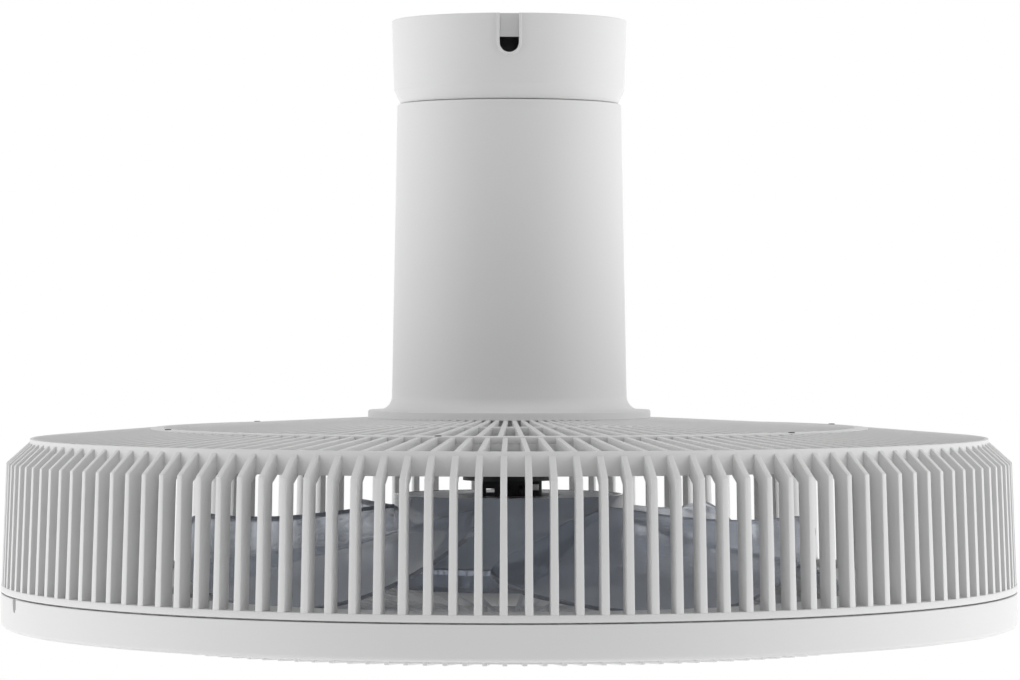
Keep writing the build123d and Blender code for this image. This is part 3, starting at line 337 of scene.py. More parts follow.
class Process(Enum):
    """How a surface was made, which sets the form of its fine pattern."""

    MOULDED = "fine random grain of an eroded mould"
    TURNED = "concentric tool marks round the axis"
    STACKED = "thin level sheets"
    WOUND = "wire laid side by side"
    CAST = "coarse skin of a die casting under paint"


@dataclass(frozen=True)
class Finish:
    """A material, from its common name and the way its surface was made.

    Lengths are in millimetres, and colours are sRGB hex. grain is the size of a cell of the fine
    pattern, or for waves their length over 2 pi, relief is the pattern's height, and shift is the
    share by which the colour gets lighter and darker over the piece.
    """

    name: str
    colour: str
    roughness: float
    process: Process = Process.MOULDED
    grain: float = 0.8
    relief: float = 0.02
    shift: float = 0.03
    metallic: float = 0.0
    ior: float = 1.5
    transmission: float = 0.0
    coat: float = 0.0
    subsurface: float = 0.0

    def pattern(self, tree: Tree, place: Socket) -> Socket:
        """Add the fine pattern of the process at a place and return its height."""
        per_grain = 1.0 / (self.grain * MM)
        if self.process in (Process.MOULDED, Process.CAST):
            detail = FINE_DETAIL if self.process is Process.MOULDED else COARSE_DETAIL
            noise = {"Scale": per_grain, "Detail": detail, "Roughness": NOISE_ROUGHNESS}
            return add_node(tree, "TexNoise", {"Vector": place, **noise}).outputs["Fac"]
        wave = {"Scale": per_grain / WAVE_FACTOR, "Distortion": WAVE_DISTORTION}
        band = {"Vector": place, **wave, "Detail": FINE_DETAIL}
        if self.process is Process.TURNED:
            settings = {"wave_type": "RINGS", "rings_direction": "Z"}
        else:
            settings = {"wave_type": "BANDS", "bands_direction": "Z"}
        return add_node(tree, "TexWave", band, **settings).outputs["Fac"]

    def build(self) -> bpy.types.Material:
        """Make the material and return it."""
        material = bpy.data.materials.new(self.name)
        tree = empty_tree(material)
        place = add_node(tree, "TexCoord").outputs["Object"]
        height = self.pattern(tree, place)
        noise = {"Vector": place, "Scale": CLOUD_SCALE, "Detail": CLOUD_DETAIL}
        cloud = add_node(tree, "TexNoise", noise).outputs["Fac"]
        base = linear(self.colour)
        darker = tuple(level * (1.0 - self.shift) for level in base[:3]) + (1.0,)
        lighter = tuple(min(level * (1.0 + self.shift), 1.0) for level in base[:3]) + (1.0,)
        tones = {"Factor": cloud, 6: darker, 7: lighter}
        tone = add_node(tree, "Mix", tones, data_type="RGBA").outputs[2]
        spread = {
            "Value": height,
            "To Min": max(self.roughness - ROUGHNESS_SPREAD, LEAST_ROUGHNESS),
            "To Max": min(self.roughness + ROUGHNESS_SPREAD, 1.0),
        }
        rough = add_node(tree, "MapRange", spread).outputs["Result"]
        relief = {"Height": height, "Strength": BUMP_STRENGTH, "Distance": self.relief * MM}
        bump = add_node(tree, "Bump", relief).outputs["Normal"]
        surface = {
            "Base Color": tone,
            "Roughness": rough,
            "Normal": bump,
            "Metallic": self.metallic,
            "IOR": self.ior,
            "Transmission Weight": self.transmission,
            "Coat Weight": self.coat,
            "Subsurface Weight": self.subsurface,
        }
        shader = add_node(tree, "BsdfPrincipled", surface)
        if self.subsurface:
            shader.inputs["Subsurface Radius"].default_value = (1.0, 1.0, 1.0)
            shader.inputs["Subsurface Scale"].default_value = SUBSURFACE_DEPTH
        add_node(tree, "OutputMaterial", {"Surface": shader.outputs["BSDF"]})
        return material


# White ABS from an eroded mould: an even, slightly silky white that breaks highlights up
WHITE_ABS = Finish("moulded_white_abs", "#dedede", 0.46, grain=0.6, relief=0.012, shift=0.012)
# Opal acrylic of the light ring: the same white, smoother, and light sinks into it
OPAL_ACRYLIC = Finish(
    "opal_acrylic", "#dadad8", 0.36, grain=1.2, relief=0.004, shift=0.01, subsurface=0.15
)
# Smoke-tinted polycarbonate: clear, glossy and blue-grey, dark where the eye looks along a wall
SMOKE_POLYCARBONATE = Finish(
    "smoke_polycarbonate",
    "#dbe0e9",
    0.06,
    grain=6.0,
    relief=0.006,
    shift=0.05,
    ior=1.58,
    transmission=0.8,
)
# Zinc-plated steel: bright, slightly cloudy, with faint marks from the press or the lathe
ZINC_STEEL = Finish(
    "zinc_plated_steel", "#dcdee0", 0.36, Process.TURNED, grain=0.5, relief=0.004, metallic=1.0
)
# Black oxide on small screws: nearly black and half matt
BLACK_STEEL = Finish("black_oxide_steel", "#2a2a2c", 0.42, grain=0.4, relief=0.006, metallic=0.8)
# Die-cast aluminium under black paint: the coarse skin shows through
BLACK_CASTING = Finish(
    "black_painted_casting", "#17181a", 0.5, Process.CAST, grain=1.4, relief=0.05
)
# White powder coat on the hanger tube and the ceiling bracket: orange-peel texture
POWDER_COAT = Finish("white_powder_coat", "#e0e0e0", 0.4, Process.CAST, grain=1.8, relief=0.03)
# Ground steel of shaft and bearings
GROUND_STEEL = Finish(
    "ground_steel", "#d4d6d8", 0.18, Process.TURNED, grain=0.4, relief=0.002, metallic=1.0
)
# Stacked silicon-steel sheets, drawn about 6 mm thick so that they show
CORE_SHEETS = Finish(
    "stacked_core_steel", "#6b6e73", 0.45, Process.STACKED, grain=1.0, relief=0.05, metallic=0.9
)
# Enamelled copper wire
COPPER_WIRE = Finish(
    "enamelled_copper", "#b0602f", 0.3, Process.WOUND, grain=0.9, relief=0.2, metallic=0.9
)
# Sintered ferrite: dull dark grey
FERRITE = Finish("sintered_ferrite", "#39393d", 0.7, grain=0.7, relief=0.02)
# Milled aluminium of the lamp's board and the spacer
ALUMINIUM = Finish(
    "milled_aluminium", "#cfd0d2", 0.34, Process.TURNED, grain=0.6, relief=0.004, metallic=1.0
)
# Soft black rubber and wire insulation
BLACK_RUBBER = Finish("black_rubber", "#1b1b1c", 0.62, grain=0.5, relief=0.02)
# Green solder mask over the control board
SOLDER_MASK = Finish("green_solder_mask", "#1f5a35", 0.3, grain=1.6, relief=0.02, coat=0.3)
# Dark grey ABS of the control box
GREY_ABS = Finish("moulded_grey_abs", "#46474a", 0.5, grain=0.7, relief=0.02)
# Cream polyamide of the terminal block
CREAM_POLYAMIDE = Finish("cream_polyamide", "#dcd4bd", 0.5, grain=0.8, relief=0.02)
# Turned brass of the terminal screws
BRASS = Finish(
    "turned_brass", "#c8a656", 0.28, Process.TURNED, grain=0.4, relief=0.004, metallic=1.0
)
# Yellow phosphor under clear resin
PHOSPHOR = Finish("lamp_phosphor", "#ead678", 0.4, grain=0.5, relief=0.01)


@dataclass
class Wardrobe:
    """Every finish that is in use, made once."""

    made: dict[str, bpy.types.Material] = field(default_factory=dict)

    def dress(self, shape: Piece, finish: Finish) -> None:
        """Give a piece or a CAD node one finish."""
        if finish.name not in self.made:
            self.made[finish.name] = finish.build()
        shape.data.materials.clear()
        shape.data.materials.append(self.made[finish.name])


@dataclass
class SubAssembly:
    """What all sub-assemblies share: the finishes and the way a piece is handed to the frame.

    Lengths are in metres, and angles and bearings in degrees.
    """

    wardrobe: Wardrobe

    def hand_over(
        self, shape: Piece, body: str, slot: str, finish: Finish, nodes: list[str]
    ) -> None:
        """Dress a finished piece and let it ride on its body in place of CAD nodes.

        Args:
            shape: the finished piece.
            body: the CAD body that it moves with.
            slot: name of a material slot; not used.
            finish: the finish of the whole piece.
            nodes: the CAD nodes that it stands for.
        """
        settle(shape)
        self.wardrobe.dress(shape, finish)
        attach(shape, body)
        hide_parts(*nodes)
        faces = len(shape.data.polygons)
        log.info("%s: %d faces, stands for %s", shape.name, faces, ", ".join(nodes))


# Sizes that several pieces share: lengths in metres, bearings in degrees

ROOF_SLOPE = tan(radians(2.756))
ROOF_OUTER_SLOPE = tan(radians(4.412))
ROOF_JOINT_RADIUS = 177.5 * MM
OUTLET_SLOPE = tan(radians(3.34))
NECK_FOOT_RADIUS = 69.9 * MM
RIB_COUNT = 140
FIRST_RIB = 2.0
CLEARANCE = 0.3 * MM


def roof_height(radius: float) -> float:
    """Height of the roof's top at a radius. It falls faster outside the joint ring."""
    inner_fall = max(min(radius, ROOF_JOINT_RADIUS) - NECK_FOOT_RADIUS, 0) * ROOF_SLOPE
    outer_fall = max(radius - ROOF_JOINT_RADIUS, 0) * ROOF_OUTER_SLOPE
    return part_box("neck_cover")[0].z - inner_fall - outer_fall


def roof_section(inner: float, outer: float, top: float, bottom: float) -> Profile:
    """Corners of a ring's section that follows the roof, from two depths below its top."""
    return [
        (inner, roof_height(inner) - top),
        (outer, roof_height(outer) - top),
        (outer, roof_height(outer) - bottom),
        (inner, roof_height(inner) - bottom),
    ]


@dataclass
class Canopy(SubAssembly):
    """The cup against the ceiling, with the slot for a cable and the lip round it."""

    top_radius: float = 58.1 * MM
    low_radius: float = 57.0 * MM
    wall: float = 2.4 * MM
    chamfer_height: float = 6.8 * MM
    chamfer_width: float = 3.2 * MM
    hole_radius: float = 27.5 * MM
    slot_width: float = 9.3 * MM
    slot_depth: float = 19.0 * MM
    lip: float = 1.3 * MM
    lip_relief: float = 0.7 * MM
    lip_gap: float = 0.05 * MM
    edge: float = 0.35 * MM
    rounded_from: float = 14.0
    overcut: float = 1.0 * MM
    cutter_depth: float = 19.2 * MM

    def slot_outline(self, width: float, depth: float, top: float) -> Profile:
        """Outline of a slot that is open upwards and round at the bottom."""
        half = width / 2
        arc = curve_points((0, half - depth), half, 180, 360, 12)
        return [(-half, top), *arc, (half, top)]

    def shell(self) -> Piece:
        """Turn the cup."""
        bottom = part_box("canopy")[0].z
        bend = bottom + self.chamfer_height
        foot = self.low_radius - self.chamfer_width
        section = [
            (self.top_radius, 0),
            (self.low_radius, bend),
            (foot, bottom),
            (self.hole_radius, bottom),
            (self.hole_radius, bottom + self.wall),
            (foot - self.wall / 2, bottom + self.wall),
            (self.low_radius - self.wall, bend),
            (self.top_radius - self.wall, 0),
        ]
        cup = turn("canopy_shell", section)
        soften(cup, self.edge, angle=self.rounded_from)
        return cup

    def build(self) -> None:
        """Turn the cup, mould its lip, and cut the slot."""
        top = -self.lip_gap
        around = self.slot_outline(self.slot_width + 2 * self.lip, self.slot_depth + self.lip, top)
        within = self.slot_outline(self.slot_width, self.slot_depth, top)
        lip = plate("slot_lip", around + within[::-1], self.wall / 2 + self.lip_relief)
        lip.location.y = -(self.top_radius + (self.lip_relief - self.wall / 2) / 2)
        settle(lip)
        soften(lip, THIN_EDGE)
        through = self.slot_outline(self.slot_width, self.slot_depth, self.overcut)
        cutter = plate("slot_cutter", through, self.cutter_depth)
        cutter.location.y = -self.low_radius
        settle(cutter)
        cup = self.shell()
        cut(cup, cutter)
        shade(cup)
        cup = join("canopy_shell", [cup, lip])
        self.hand_over(cup, "frame", "white_plastic", WHITE_ABS, ["canopy"])


@dataclass
class Neck(SubAssembly):
    """The column, wider at the bottom, with a flared foot on the roof."""

    top_radius: float = 55.4 * MM
    bottom_radius: float = 58.1 * MM
    hole_radius: float = 27.5 * MM
    wall: float = 2.5 * MM
    flare: float = 7.0 * MM
    flare_end: float = 262.0
    flange_height: float = 3.8 * MM
    flange_chamfer: float = 0.4 * MM
    foot_thickening: float = 1.0 * MM
    top_round: float = 0.8 * MM
    top_bend_in: float = 0.2 * MM
    top_bend_down: float = 0.25 * MM
    smooth_to: float = 32.0

    def build(self) -> None:
        """Turn the column with its flare."""
        low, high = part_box("neck_cover")
        top, bottom = high.z, low.z
        flange_top = bottom + self.flange_height
        bend = flange_top + self.flare
        centre = (self.bottom_radius + self.flare, bend)
        section = [
            (self.hole_radius, top),
            (self.top_radius - self.top_round, top),
            (self.top_radius - self.top_bend_in, top - self.top_bend_down),
            (self.top_radius, top - self.top_round),
            *curve_points(centre, self.flare, 180, self.flare_end, 10),
            (NECK_FOOT_RADIUS - self.flange_chamfer, flange_top),
            (NECK_FOOT_RADIUS, flange_top - self.flange_chamfer),
            (NECK_FOOT_RADIUS, bottom),
            (self.bottom_radius - self.wall - self.foot_thickening, bottom),
            (self.bottom_radius - self.wall, bend),
            (self.top_radius - self.wall, top - self.wall),
            (self.hole_radius, top - self.wall),
        ]
        column = turn("neck_shell", section)
        shade(column, self.smooth_to)
        self.hand_over(column, "frame", "white_plastic", WHITE_ABS, ["neck_cover"])


@dataclass
class RoofGrille(SubAssembly):
    """The inner part of the roof: hub plate, middle ring, joint ring and radial ribs."""

    rib_count: int = 105
    rib_width: float = 2.3 * MM
    rib_depth: float = 10.0 * MM
    plate_radius: float = 68.0 * MM
    plate_height: float = 3.0 * MM
    plate_rim: float = 4.0 * MM
    bore: float = 11.0 * MM
    middle_radius: float = 107.0 * MM
    middle_width: float = 4.0 * MM
    joint_inner: float = 170.5 * MM
    joint_outer: float = 177.2 * MM
    joint_height: float = 3.0 * MM
    tongue_reach: float = 1.5 * MM
    step: float = 0.3 * MM

    def ribs(self) -> Piece:
        """Cut one rib, round its edges and copy it round the roof."""
        top = roof_height(0)
        start = self.plate_radius - self.plate_rim
        end = self.joint_inner
        tongue = end + self.tongue_reach
        outline = [
            (start, top),
            (NECK_FOOT_RADIUS, top),
            (tongue, roof_height(tongue)),
            (tongue, roof_height(tongue) - self.joint_height + 2 * self.step),
            (end - self.step, roof_height(end) - self.joint_height + 2 * self.step),
            (end - self.step, roof_height(end) - self.rib_depth),
            (NECK_FOOT_RADIUS, top - self.rib_depth),
            (start, top - self.rib_depth),
        ]
        rib = plate("roof_ribs", outline, self.rib_width)
        soften(rib, THIN_EDGE)
        repeat_round(rib, self.rib_count, FIRST_RIB)
        return rib

    def rings(self) -> list[Piece]:
        """Turn the hub plate and the two rings."""
        top = roof_height(0)
        start = self.plate_radius - self.plate_rim
        inner = self.middle_radius - self.middle_width / 2
        outer = self.middle_radius + self.middle_width / 2
        hub = [
            (self.bore, top),
            (self.plate_radius, top),
            (self.plate_radius, top - self.rib_depth),
            (start, top - self.rib_depth),
            (start, top - self.plate_height),
            (self.bore, top - self.plate_height),
        ]
        middle = roof_section(inner, outer, self.step, self.rib_depth / 2)
        joint = roof_section(self.joint_inner, self.joint_outer, -self.step, self.joint_height)
        made = [
            turn("hub_plate", hub),
            turn("middle_ring", middle),
            turn("joint_ring", joint, WIDE_FACES),
        ]
        for ring in made:
            soften(ring, THIN_EDGE)
        return made

    def build(self) -> None:
        """Join the ribs and the rings to the roof grille."""
        roof = join("roof_grille", [self.ribs(), *self.rings()])
        self.hand_over(roof, "frame", "white_plastic", WHITE_ABS, ["top_grille"])


@dataclass
class Cage(SubAssembly):
    """The outer cage: ledge ring, rim and collar, and ribs over the roof and down the side."""

    roof_rib_width: float = 2.3 * MM
    roof_rib_depth: float = 10.0 * MM
    ledge_inner: float = 170.5 * MM
    ledge_outer: float = 177.5 * MM
    ledge_top: float = 3.0 * MM
    ledge_bottom: float = 10.5 * MM
    joint_gap: float = 0.15 * MM
    seat_width: float = 3.5 * MM
    seat_sink: float = 1.0 * MM
    rim_radius: float = 236.0 * MM
    rim_wall: float = 2.6 * MM
    rim_height: float = 11.0 * MM
    rib_start: float = 1.7 * MM
    shoulder_radius: float = 247.3 * MM
    shoulder_drop: float = 11.8 * MM
    foot_radius: float = 249.7 * MM
    collar_inner: float = 241.9 * MM
    collar_outer: float = 250.0 * MM
    collar_height: float = 3.3 * MM
    collar_draft: float = 0.14 * MM
    rib_depth: float = 7.8 * MM
    width_top: float = 2.9 * MM
    width_bottom: float = 3.6 * MM
    widened_height: float = 1.0 * MM
    knee_drop: float = 3.0 * MM
    step_in: float = 0.3 * MM

    def roof_ribs(self) -> Piece:
        """Cut one roof rib and copy it."""
        middle = self.rim_radius - self.rim_wall / 2
        start = self.ledge_outer - self.joint_gap
        seat = self.ledge_outer - self.seat_width
        sunk = self.ledge_top + self.seat_sink
        outline = [
            (start, roof_height(self.ledge_outer)),
            (middle, roof_height(middle)),
            (middle, roof_height(self.rim_radius) - self.roof_rib_depth),
            (seat, roof_height(seat) - self.roof_rib_depth),
            (seat, roof_height(seat) - sunk),
            (start, roof_height(self.ledge_outer) - sunk),
        ]
        rib = plate("outer_roof_ribs", outline, self.roof_rib_width)
        soften(rib, THIN_EDGE)
        repeat_round(rib, RIB_COUNT, FIRST_RIB)
        return rib

    def side_ribs(self) -> Piece:
        """Cut one side rib, widen its foot, round its edges and copy it."""
        rim_top = roof_height(self.rim_radius)
        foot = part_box("outer_cage")[0].z
        shoulder = rim_top - self.shoulder_drop
        middle = self.rim_radius - self.rim_wall / 2
        outline = [
            (middle, rim_top - self.rib_start),
            (self.rim_radius, rim_top - self.rib_start),
            (self.shoulder_radius, shoulder),
            (self.foot_radius, foot),
            (self.foot_radius - self.rib_depth + self.step_in, foot),
            (self.shoulder_radius - self.rib_depth, shoulder - self.knee_drop),
            (middle, rim_top - self.rim_height),
        ]
        rib = plate("side_ribs", outline, self.width_top)
        widen(rib, foot + self.widened_height, self.width_bottom / self.width_top)
        soften(rib, RIB_EDGE)
        repeat_round(rib, RIB_COUNT, FIRST_RIB)
        return rib

    def rings(self) -> list[Piece]:
        """Turn the ledge ring, the rim and the collar."""
        rim_top = roof_height(self.rim_radius)
        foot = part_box("outer_cage")[0].z
        rim_inner = self.rim_radius - self.rim_wall
        ledge_radii = (self.ledge_inner, self.ledge_outer)
        sections = {
            "ledge": roof_section(*ledge_radii, self.ledge_top, self.ledge_bottom),
            "rim": level_section(rim_inner, self.rim_radius, rim_top, rim_top - self.rim_height),
            "collar": [
                (self.collar_inner, foot),
                (self.collar_outer, foot),
                (self.collar_outer - self.collar_draft, foot + self.collar_height),
                (self.collar_inner, foot + self.collar_height),
            ],
        }
        made = [turn(name, section, WIDE_FACES) for name, section in sections.items()]
        for ring in made:
            soften(ring, RING_EDGE)
        return made

    def build(self) -> None:
        """Join ribs and rings to the cage."""
        cage = join("cage_shell", [self.side_ribs(), self.roof_ribs(), *self.rings()])
        self.hand_over(cage, "frame", "white_plastic", WHITE_ABS, ["outer_cage"])


@dataclass
class Housing(SubAssembly):
    """The plain band under the ribs with its tray and outlet throat, and the light ring in it."""

    radius: float = 250.0 * MM
    seat_inner: float = 242.2 * MM
    seat_outer: float = 246.5 * MM
    seam: float = 0.7 * MM
    band_height: float = 16.5 * MM
    wall: float = 2.4 * MM
    tray: float = 2.2 * MM
    edge: float = 2.2 * MM
    top_chamfer: float = 0.3 * MM
    mouth_land: float = 0.3 * MM
    throat: float = 167.0 * MM
    throat_collar: float = 4.0 * MM
    grille_wall_inner: float = 200.4 * MM
    notch_bearing: float = -70.0
    notch_width: float = 6.0 * MM
    notch_height: float = 6.5 * MM
    notch_depth: float = 1.5 * MM
    notch_above: float = 0.4 * MM
    notch_outside: float = 0.1 * MM
    diffuser_thickness: float = 2.0 * MM
    diffuser_rim: float = 2.0 * MM
    diffuser_rim_height: float = 7.0 * MM

    def shell(self) -> Piece:
        """Turn the housing."""
        low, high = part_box("lower_housing")
        band_top = high.z - self.seam
        band_bottom = band_top - self.band_height
        tray_bottom = band_top - self.tray
        wall_outer = self.grille_wall_inner + self.wall
        mouth = self.tray - self.mouth_land
        edge_centre = (self.radius - self.edge, band_bottom + self.edge)
        mouth_centre = (self.throat + mouth, band_top - mouth)
        section = [
            (self.seat_inner, high.z),
            (self.seat_outer, high.z),
            (self.seat_outer, band_top),
            (self.radius - self.top_chamfer, band_top),
            (self.radius, band_top - self.top_chamfer),
            *curve_points(edge_centre, self.edge, 0, -90, 8),
            (self.radius - self.wall, band_bottom),
            (self.radius - self.wall, tray_bottom),
            (wall_outer, tray_bottom),
            (wall_outer, low.z),
            (self.grille_wall_inner, low.z),
            (self.grille_wall_inner, tray_bottom),
            (self.throat + self.tray, tray_bottom),
            (self.throat + self.tray, tray_bottom - self.throat_collar),
            (self.throat, tray_bottom - self.throat_collar),
            *curve_points(mouth_centre, mouth, 180, 90, 6),
            (self.seat_inner, band_top),
        ]
        housing = turn("housing_band", section, WIDE_FACES)
        shade(housing)
        return housing

    def build(self) -> None:
        """Turn the housing and cut the release notch, then turn the light ring."""
        housing = self.shell()
        band_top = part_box("lower_housing")[1].z - self.seam
        half = self.notch_width / 2
        above = band_top + self.notch_above
        arc = curve_points((0, band_top - self.notch_height + half), half, 180, 360, 8)
        notch = plate("notch", [(-half, above), *arc, (half, above)], self.notch_depth)
        notch.rotation_euler = (0, 0, radians(self.notch_bearing))
        reach = self.radius - self.notch_depth / 2 + self.notch_outside
        angle = toward(self.notch_bearing)
        notch.location = (reach * cos(angle), reach * sin(angle), 0)
        settle(notch)
        cut(housing, notch)
        shade(housing)
        self.hand_over(housing, "frame", "white_plastic", WHITE_ABS, ["lower_housing"])
        self.build_light_ring()

    def build_light_ring(self) -> None:
        """Turn the opal ring that closes the lamp."""
        low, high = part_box("light_diffuser")
        outer = self.radius - self.wall - CLEARANCE
        inner = self.grille_wall_inner + self.wall + CLEARANCE
        outer_low = high.z - self.diffuser_rim_height
        section = [
            (outer, outer_low),
            (outer, high.z),
            (outer - self.diffuser_rim, high.z),
            (outer - self.diffuser_rim, outer_low + self.diffuser_thickness),
            (inner + self.diffuser_rim, low.z + self.diffuser_thickness),
            (inner + self.diffuser_rim, low.z + self.diffuser_rim_height),
            (inner, low.z + self.diffuser_rim_height),
            (inner, low.z),
        ]
        ring = turn("light_ring", section, WIDE_FACES)
        soften(ring, RING_EDGE)
        self.hand_over(ring, "frame", "opal_plastic", OPAL_ACRYLIC, ["light_diffuser"])


@dataclass
class OutletGrille(SubAssembly):
    """The dished grille under the impeller, with a bayonet lug at three places."""

    radius: float = 200.1 * MM
    rim_wall: float = 2.4 * MM
    relief: float = 0.8 * MM
    rib_width: float = 2.3 * MM
    rib_depth: float = 14.6 * MM
    middle_radius: float = 141.0 * MM
    inner_radius: float = 83.0 * MM
    ring_width: float = 3.0 * MM
    ring_lift: float = 1.0 * MM
    hub_radius: float = 36.0 * MM
    hub_height: float = 3.0 * MM
    hub_faces: int = 96
    pole: float = 0.01 * MM
    rib_root: float = 1.0 * MM
    step: float = 0.3 * MM
    drop: float = 3.1 * MM
    lug_count: int = 3
    lug_bearing: float = 20.0
    lug_arc: float = 8.0
    lug_height: float = 4.0 * MM
    lug_reach: float = 1.6 * MM
    lug_root: float = 1.0 * MM
    lug_drop: float = 5.0 * MM

    def under(self, radius: float) -> float:
        """Height of the underside of the ribs at a radius."""
        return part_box("lower_housing")[0].z - self.drop - (self.radius - radius) * OUTLET_SLOPE

    def ribs(self, inner: float, outer: float, count: int) -> Piece:
        """Cut one rib between two radii and copy it."""
        outline = [
            (inner, self.under(inner)),
            (outer, self.under(outer)),
            (outer, self.under(outer) + self.rib_depth),
            (inner, self.under(inner) + self.rib_depth),
        ]
        rib = plate("outlet_ribs", outline, self.rib_width)
        soften(rib, RIB_EDGE)
        repeat_round(rib, count, FIRST_RIB)
        return rib

    def band(self, name: str, radius: float) -> Piece:
        """Turn one of the two rings that tie the ribs."""
        half = self.ring_width / 2
        top = self.under(radius) + self.rib_depth - self.step
        bottom = self.under(radius) + self.ring_lift
        return turn(name, level_section(radius - half, radius + half, bottom, top))

    def lugs(self) -> Piece:
        """Shape one bayonet lug, round its edges and copy it."""
        tray_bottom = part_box("lamp_board")[1].z
        top = tray_bottom - self.lug_drop - self.lug_height / 2
        inner = self.radius - self.relief - self.lug_root
        outer = self.radius + self.lug_reach
        outline = level_section(inner, outer, top - self.lug_height, top)
        lug = plate("lugs", outline, self.radius * radians(self.lug_arc))
        soften(lug, RING_EDGE)
        repeat_round(lug, self.lug_count, self.lug_bearing)
        return lug

    def build(self) -> None:
        """Make the ribs, rings, hub and lugs, and join them."""
        rim_outer = self.radius - self.relief
        rim_inner = rim_outer - self.rim_wall
        rim_low = self.under(rim_outer) + self.relief
        rim_high = self.under(rim_outer) + self.rib_depth + self.step
        hub_low = self.under(self.hub_radius) - self.step
        hub_high = hub_low + self.rib_depth + 2 * self.step
        hub_inner = self.hub_radius - self.ring_width
        rim = level_section(rim_inner, rim_outer, rim_low, rim_high)
        hub = [
            (self.pole, hub_low),
            (self.hub_radius, hub_low),
            (self.hub_radius, hub_high),
            (hub_inner, hub_high),
            (hub_inner, hub_low + self.hub_height),
            (self.pole, hub_low + self.hub_height),
        ]
        rings = [
            turn("outlet_rim", rim, WIDE_FACES),
            self.band("middle_band", self.middle_radius),
            self.band("inner_band", self.inner_radius),
            turn("outlet_hub", hub, self.hub_faces),
        ]
        for ring in rings:
            soften(ring, RING_EDGE)
        ribs = [
            self.ribs(self.middle_radius, self.radius, RIB_COUNT),
            self.ribs(self.inner_radius, self.middle_radius, RIB_COUNT // 2),
            self.ribs(self.hub_radius - self.rib_root, self.inner_radius, RIB_COUNT // 4),
        ]
        grille = join("outlet_grille", [*ribs, *rings, self.lugs()])
        self.hand_over(grille, "outlet", "white_plastic", WHITE_ABS, ["bottom_grille"])


@dataclass
class Impeller(SubAssembly):
    """The clear impeller: a hub cup and broad curved blades."""

    blade_count: int = 5
    hub_radius: float = 57.2 * MM
    hub_wall: float = 2.2 * MM
    web: float = 2.5 * MM
    bore: float = 4.05 * MM
    hub_faces: int = 128
    radius: float = 163.0 * MM
    thickness: float = 2.0 * MM
    bearing: float = -3.7
    tip_end: float = 72.0
    root_start: float = 32.0
    root_end: float = 60.0
    root_low: float = 33.2 * MM
    root_high: float = 40.0 * MM
    low_bearing: float = 32.0
    low_drop: float = 3.3 * MM
    half_rise: float = 17.0 * MM
    half_turn: float = 70.0
    lead_rise: float = 43.0 * MM
    lead_power: float = 2.4
    fall_power: float = 1.25
    trailing_power: int = 4
    trailing_corner: float = 24.0 * MM
    leading_corner: float = 15.0 * MM
    blade_edge: float = 0.5 * MM
    rounded_from: float = 50.0
    steps_across: int = 48
    steps_out: int = 24

    def edge_shift(self, radius: float, corner: float) -> float:
        """How far in degrees a rounded tip corner draws the blade's edge back at a radius."""
        into = radius - (self.radius - corner)
        if into <= 0:
            return 0.0
        back = corner - sqrt(max(corner * corner - into * into, 0.0))
        return degrees(back / radius)

    def surface(self, share: float, out: float) -> Vector:
        """A point of the first blade's middle surface.

        Args:
            share: from the trailing edge, 0, to the leading edge, 1, at this radius.
            out: from the root, 0, to the tip, 1.

        Returns:
            The point in metres.
        """
        root = self.hub_radius - self.hub_wall / 2
        radius = root + (self.radius - root) * sin(out * pi / 2)
        reach = (radius - self.hub_radius) / (self.radius - self.hub_radius)
        trailing = self.root_start * (1 - reach) ** self.trailing_power
        trailing += self.edge_shift(radius, self.trailing_corner)
        leading = self.root_end + (self.tip_end - self.root_end) * reach
        leading -= self.edge_shift(radius, self.leading_corner)
        bearing = trailing + (leading - trailing) * share
        hub_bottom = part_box("hub_cap")[0].z
        turned = pi * (bearing - self.low_bearing) / self.half_turn
        along_tip = max((bearing - self.low_bearing) / (self.tip_end - self.low_bearing), 0.0)
        if along_tip:
            rise = self.lead_rise * along_tip**self.lead_power
        else:
            rise = self.half_rise * (1.0 - cos(turned))
        tip = hub_bottom - self.low_drop + rise
        along_root = (bearing - self.root_start) / (self.root_end - self.root_start)
        foot = hub_bottom + self.root_low + (self.root_high - self.root_low) * along_root
        angle = toward(self.bearing + bearing)
        height = foot + (tip - foot) * max(reach, 0.0) ** self.fall_power
        return Vector((radius * cos(angle), radius * sin(angle), height))

    def blades(self) -> Piece:
        """Bend a grid to the blade's curved surface, thicken it, round its edges and copy it.

        The surface twists and its outline is rounded, so its points are set from the formula
        that the solid follows too.
        """
        clear_selection()
        bpy.ops.mesh.primitive_grid_add(
            x_subdivisions=self.steps_across, y_subdivisions=self.steps_out, size=1
        )
        blade = bpy.context.object
        blade.name = "blades"
        for vertex in blade.data.vertices:
            vertex.co = self.surface(vertex.co.x + 0.5, vertex.co.y + 0.5)
        weld(blade)
        apply_modifier(
            blade, "SOLIDIFY", thickness=self.thickness, offset=0.0, use_even_offset=True
        )
        soften(blade, self.blade_edge, segments=3, angle=self.rounded_from)
        repeat_round(blade, self.blade_count, AS_MADE)
        return blade

    def build(self) -> None:
        """Join the hub and the blades."""
        hub_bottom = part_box("hub_cap")[0].z
        hub_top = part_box("impeller")[1].z
        inner = self.hub_radius - self.hub_wall
        web_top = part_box("motor_bell")[0].z - CLEARANCE
        section = [
            (self.hub_radius, hub_bottom),
            (self.hub_radius, hub_top),
            (inner, hub_top),
            (inner, web_top),
            (self.bore, web_top),
            (self.bore, web_top - self.web),
            (inner, web_top - self.web),
            (inner, hub_bottom),
        ]
        hub = turn("hub", section, self.hub_faces)
        soften(hub, RING_EDGE)
        moulding = join("impeller_moulding", [self.blades(), hub])
        self.hand_over(moulding, "rotor", "smoke_plastic", SMOKE_POLYCARBONATE, ["impeller"])


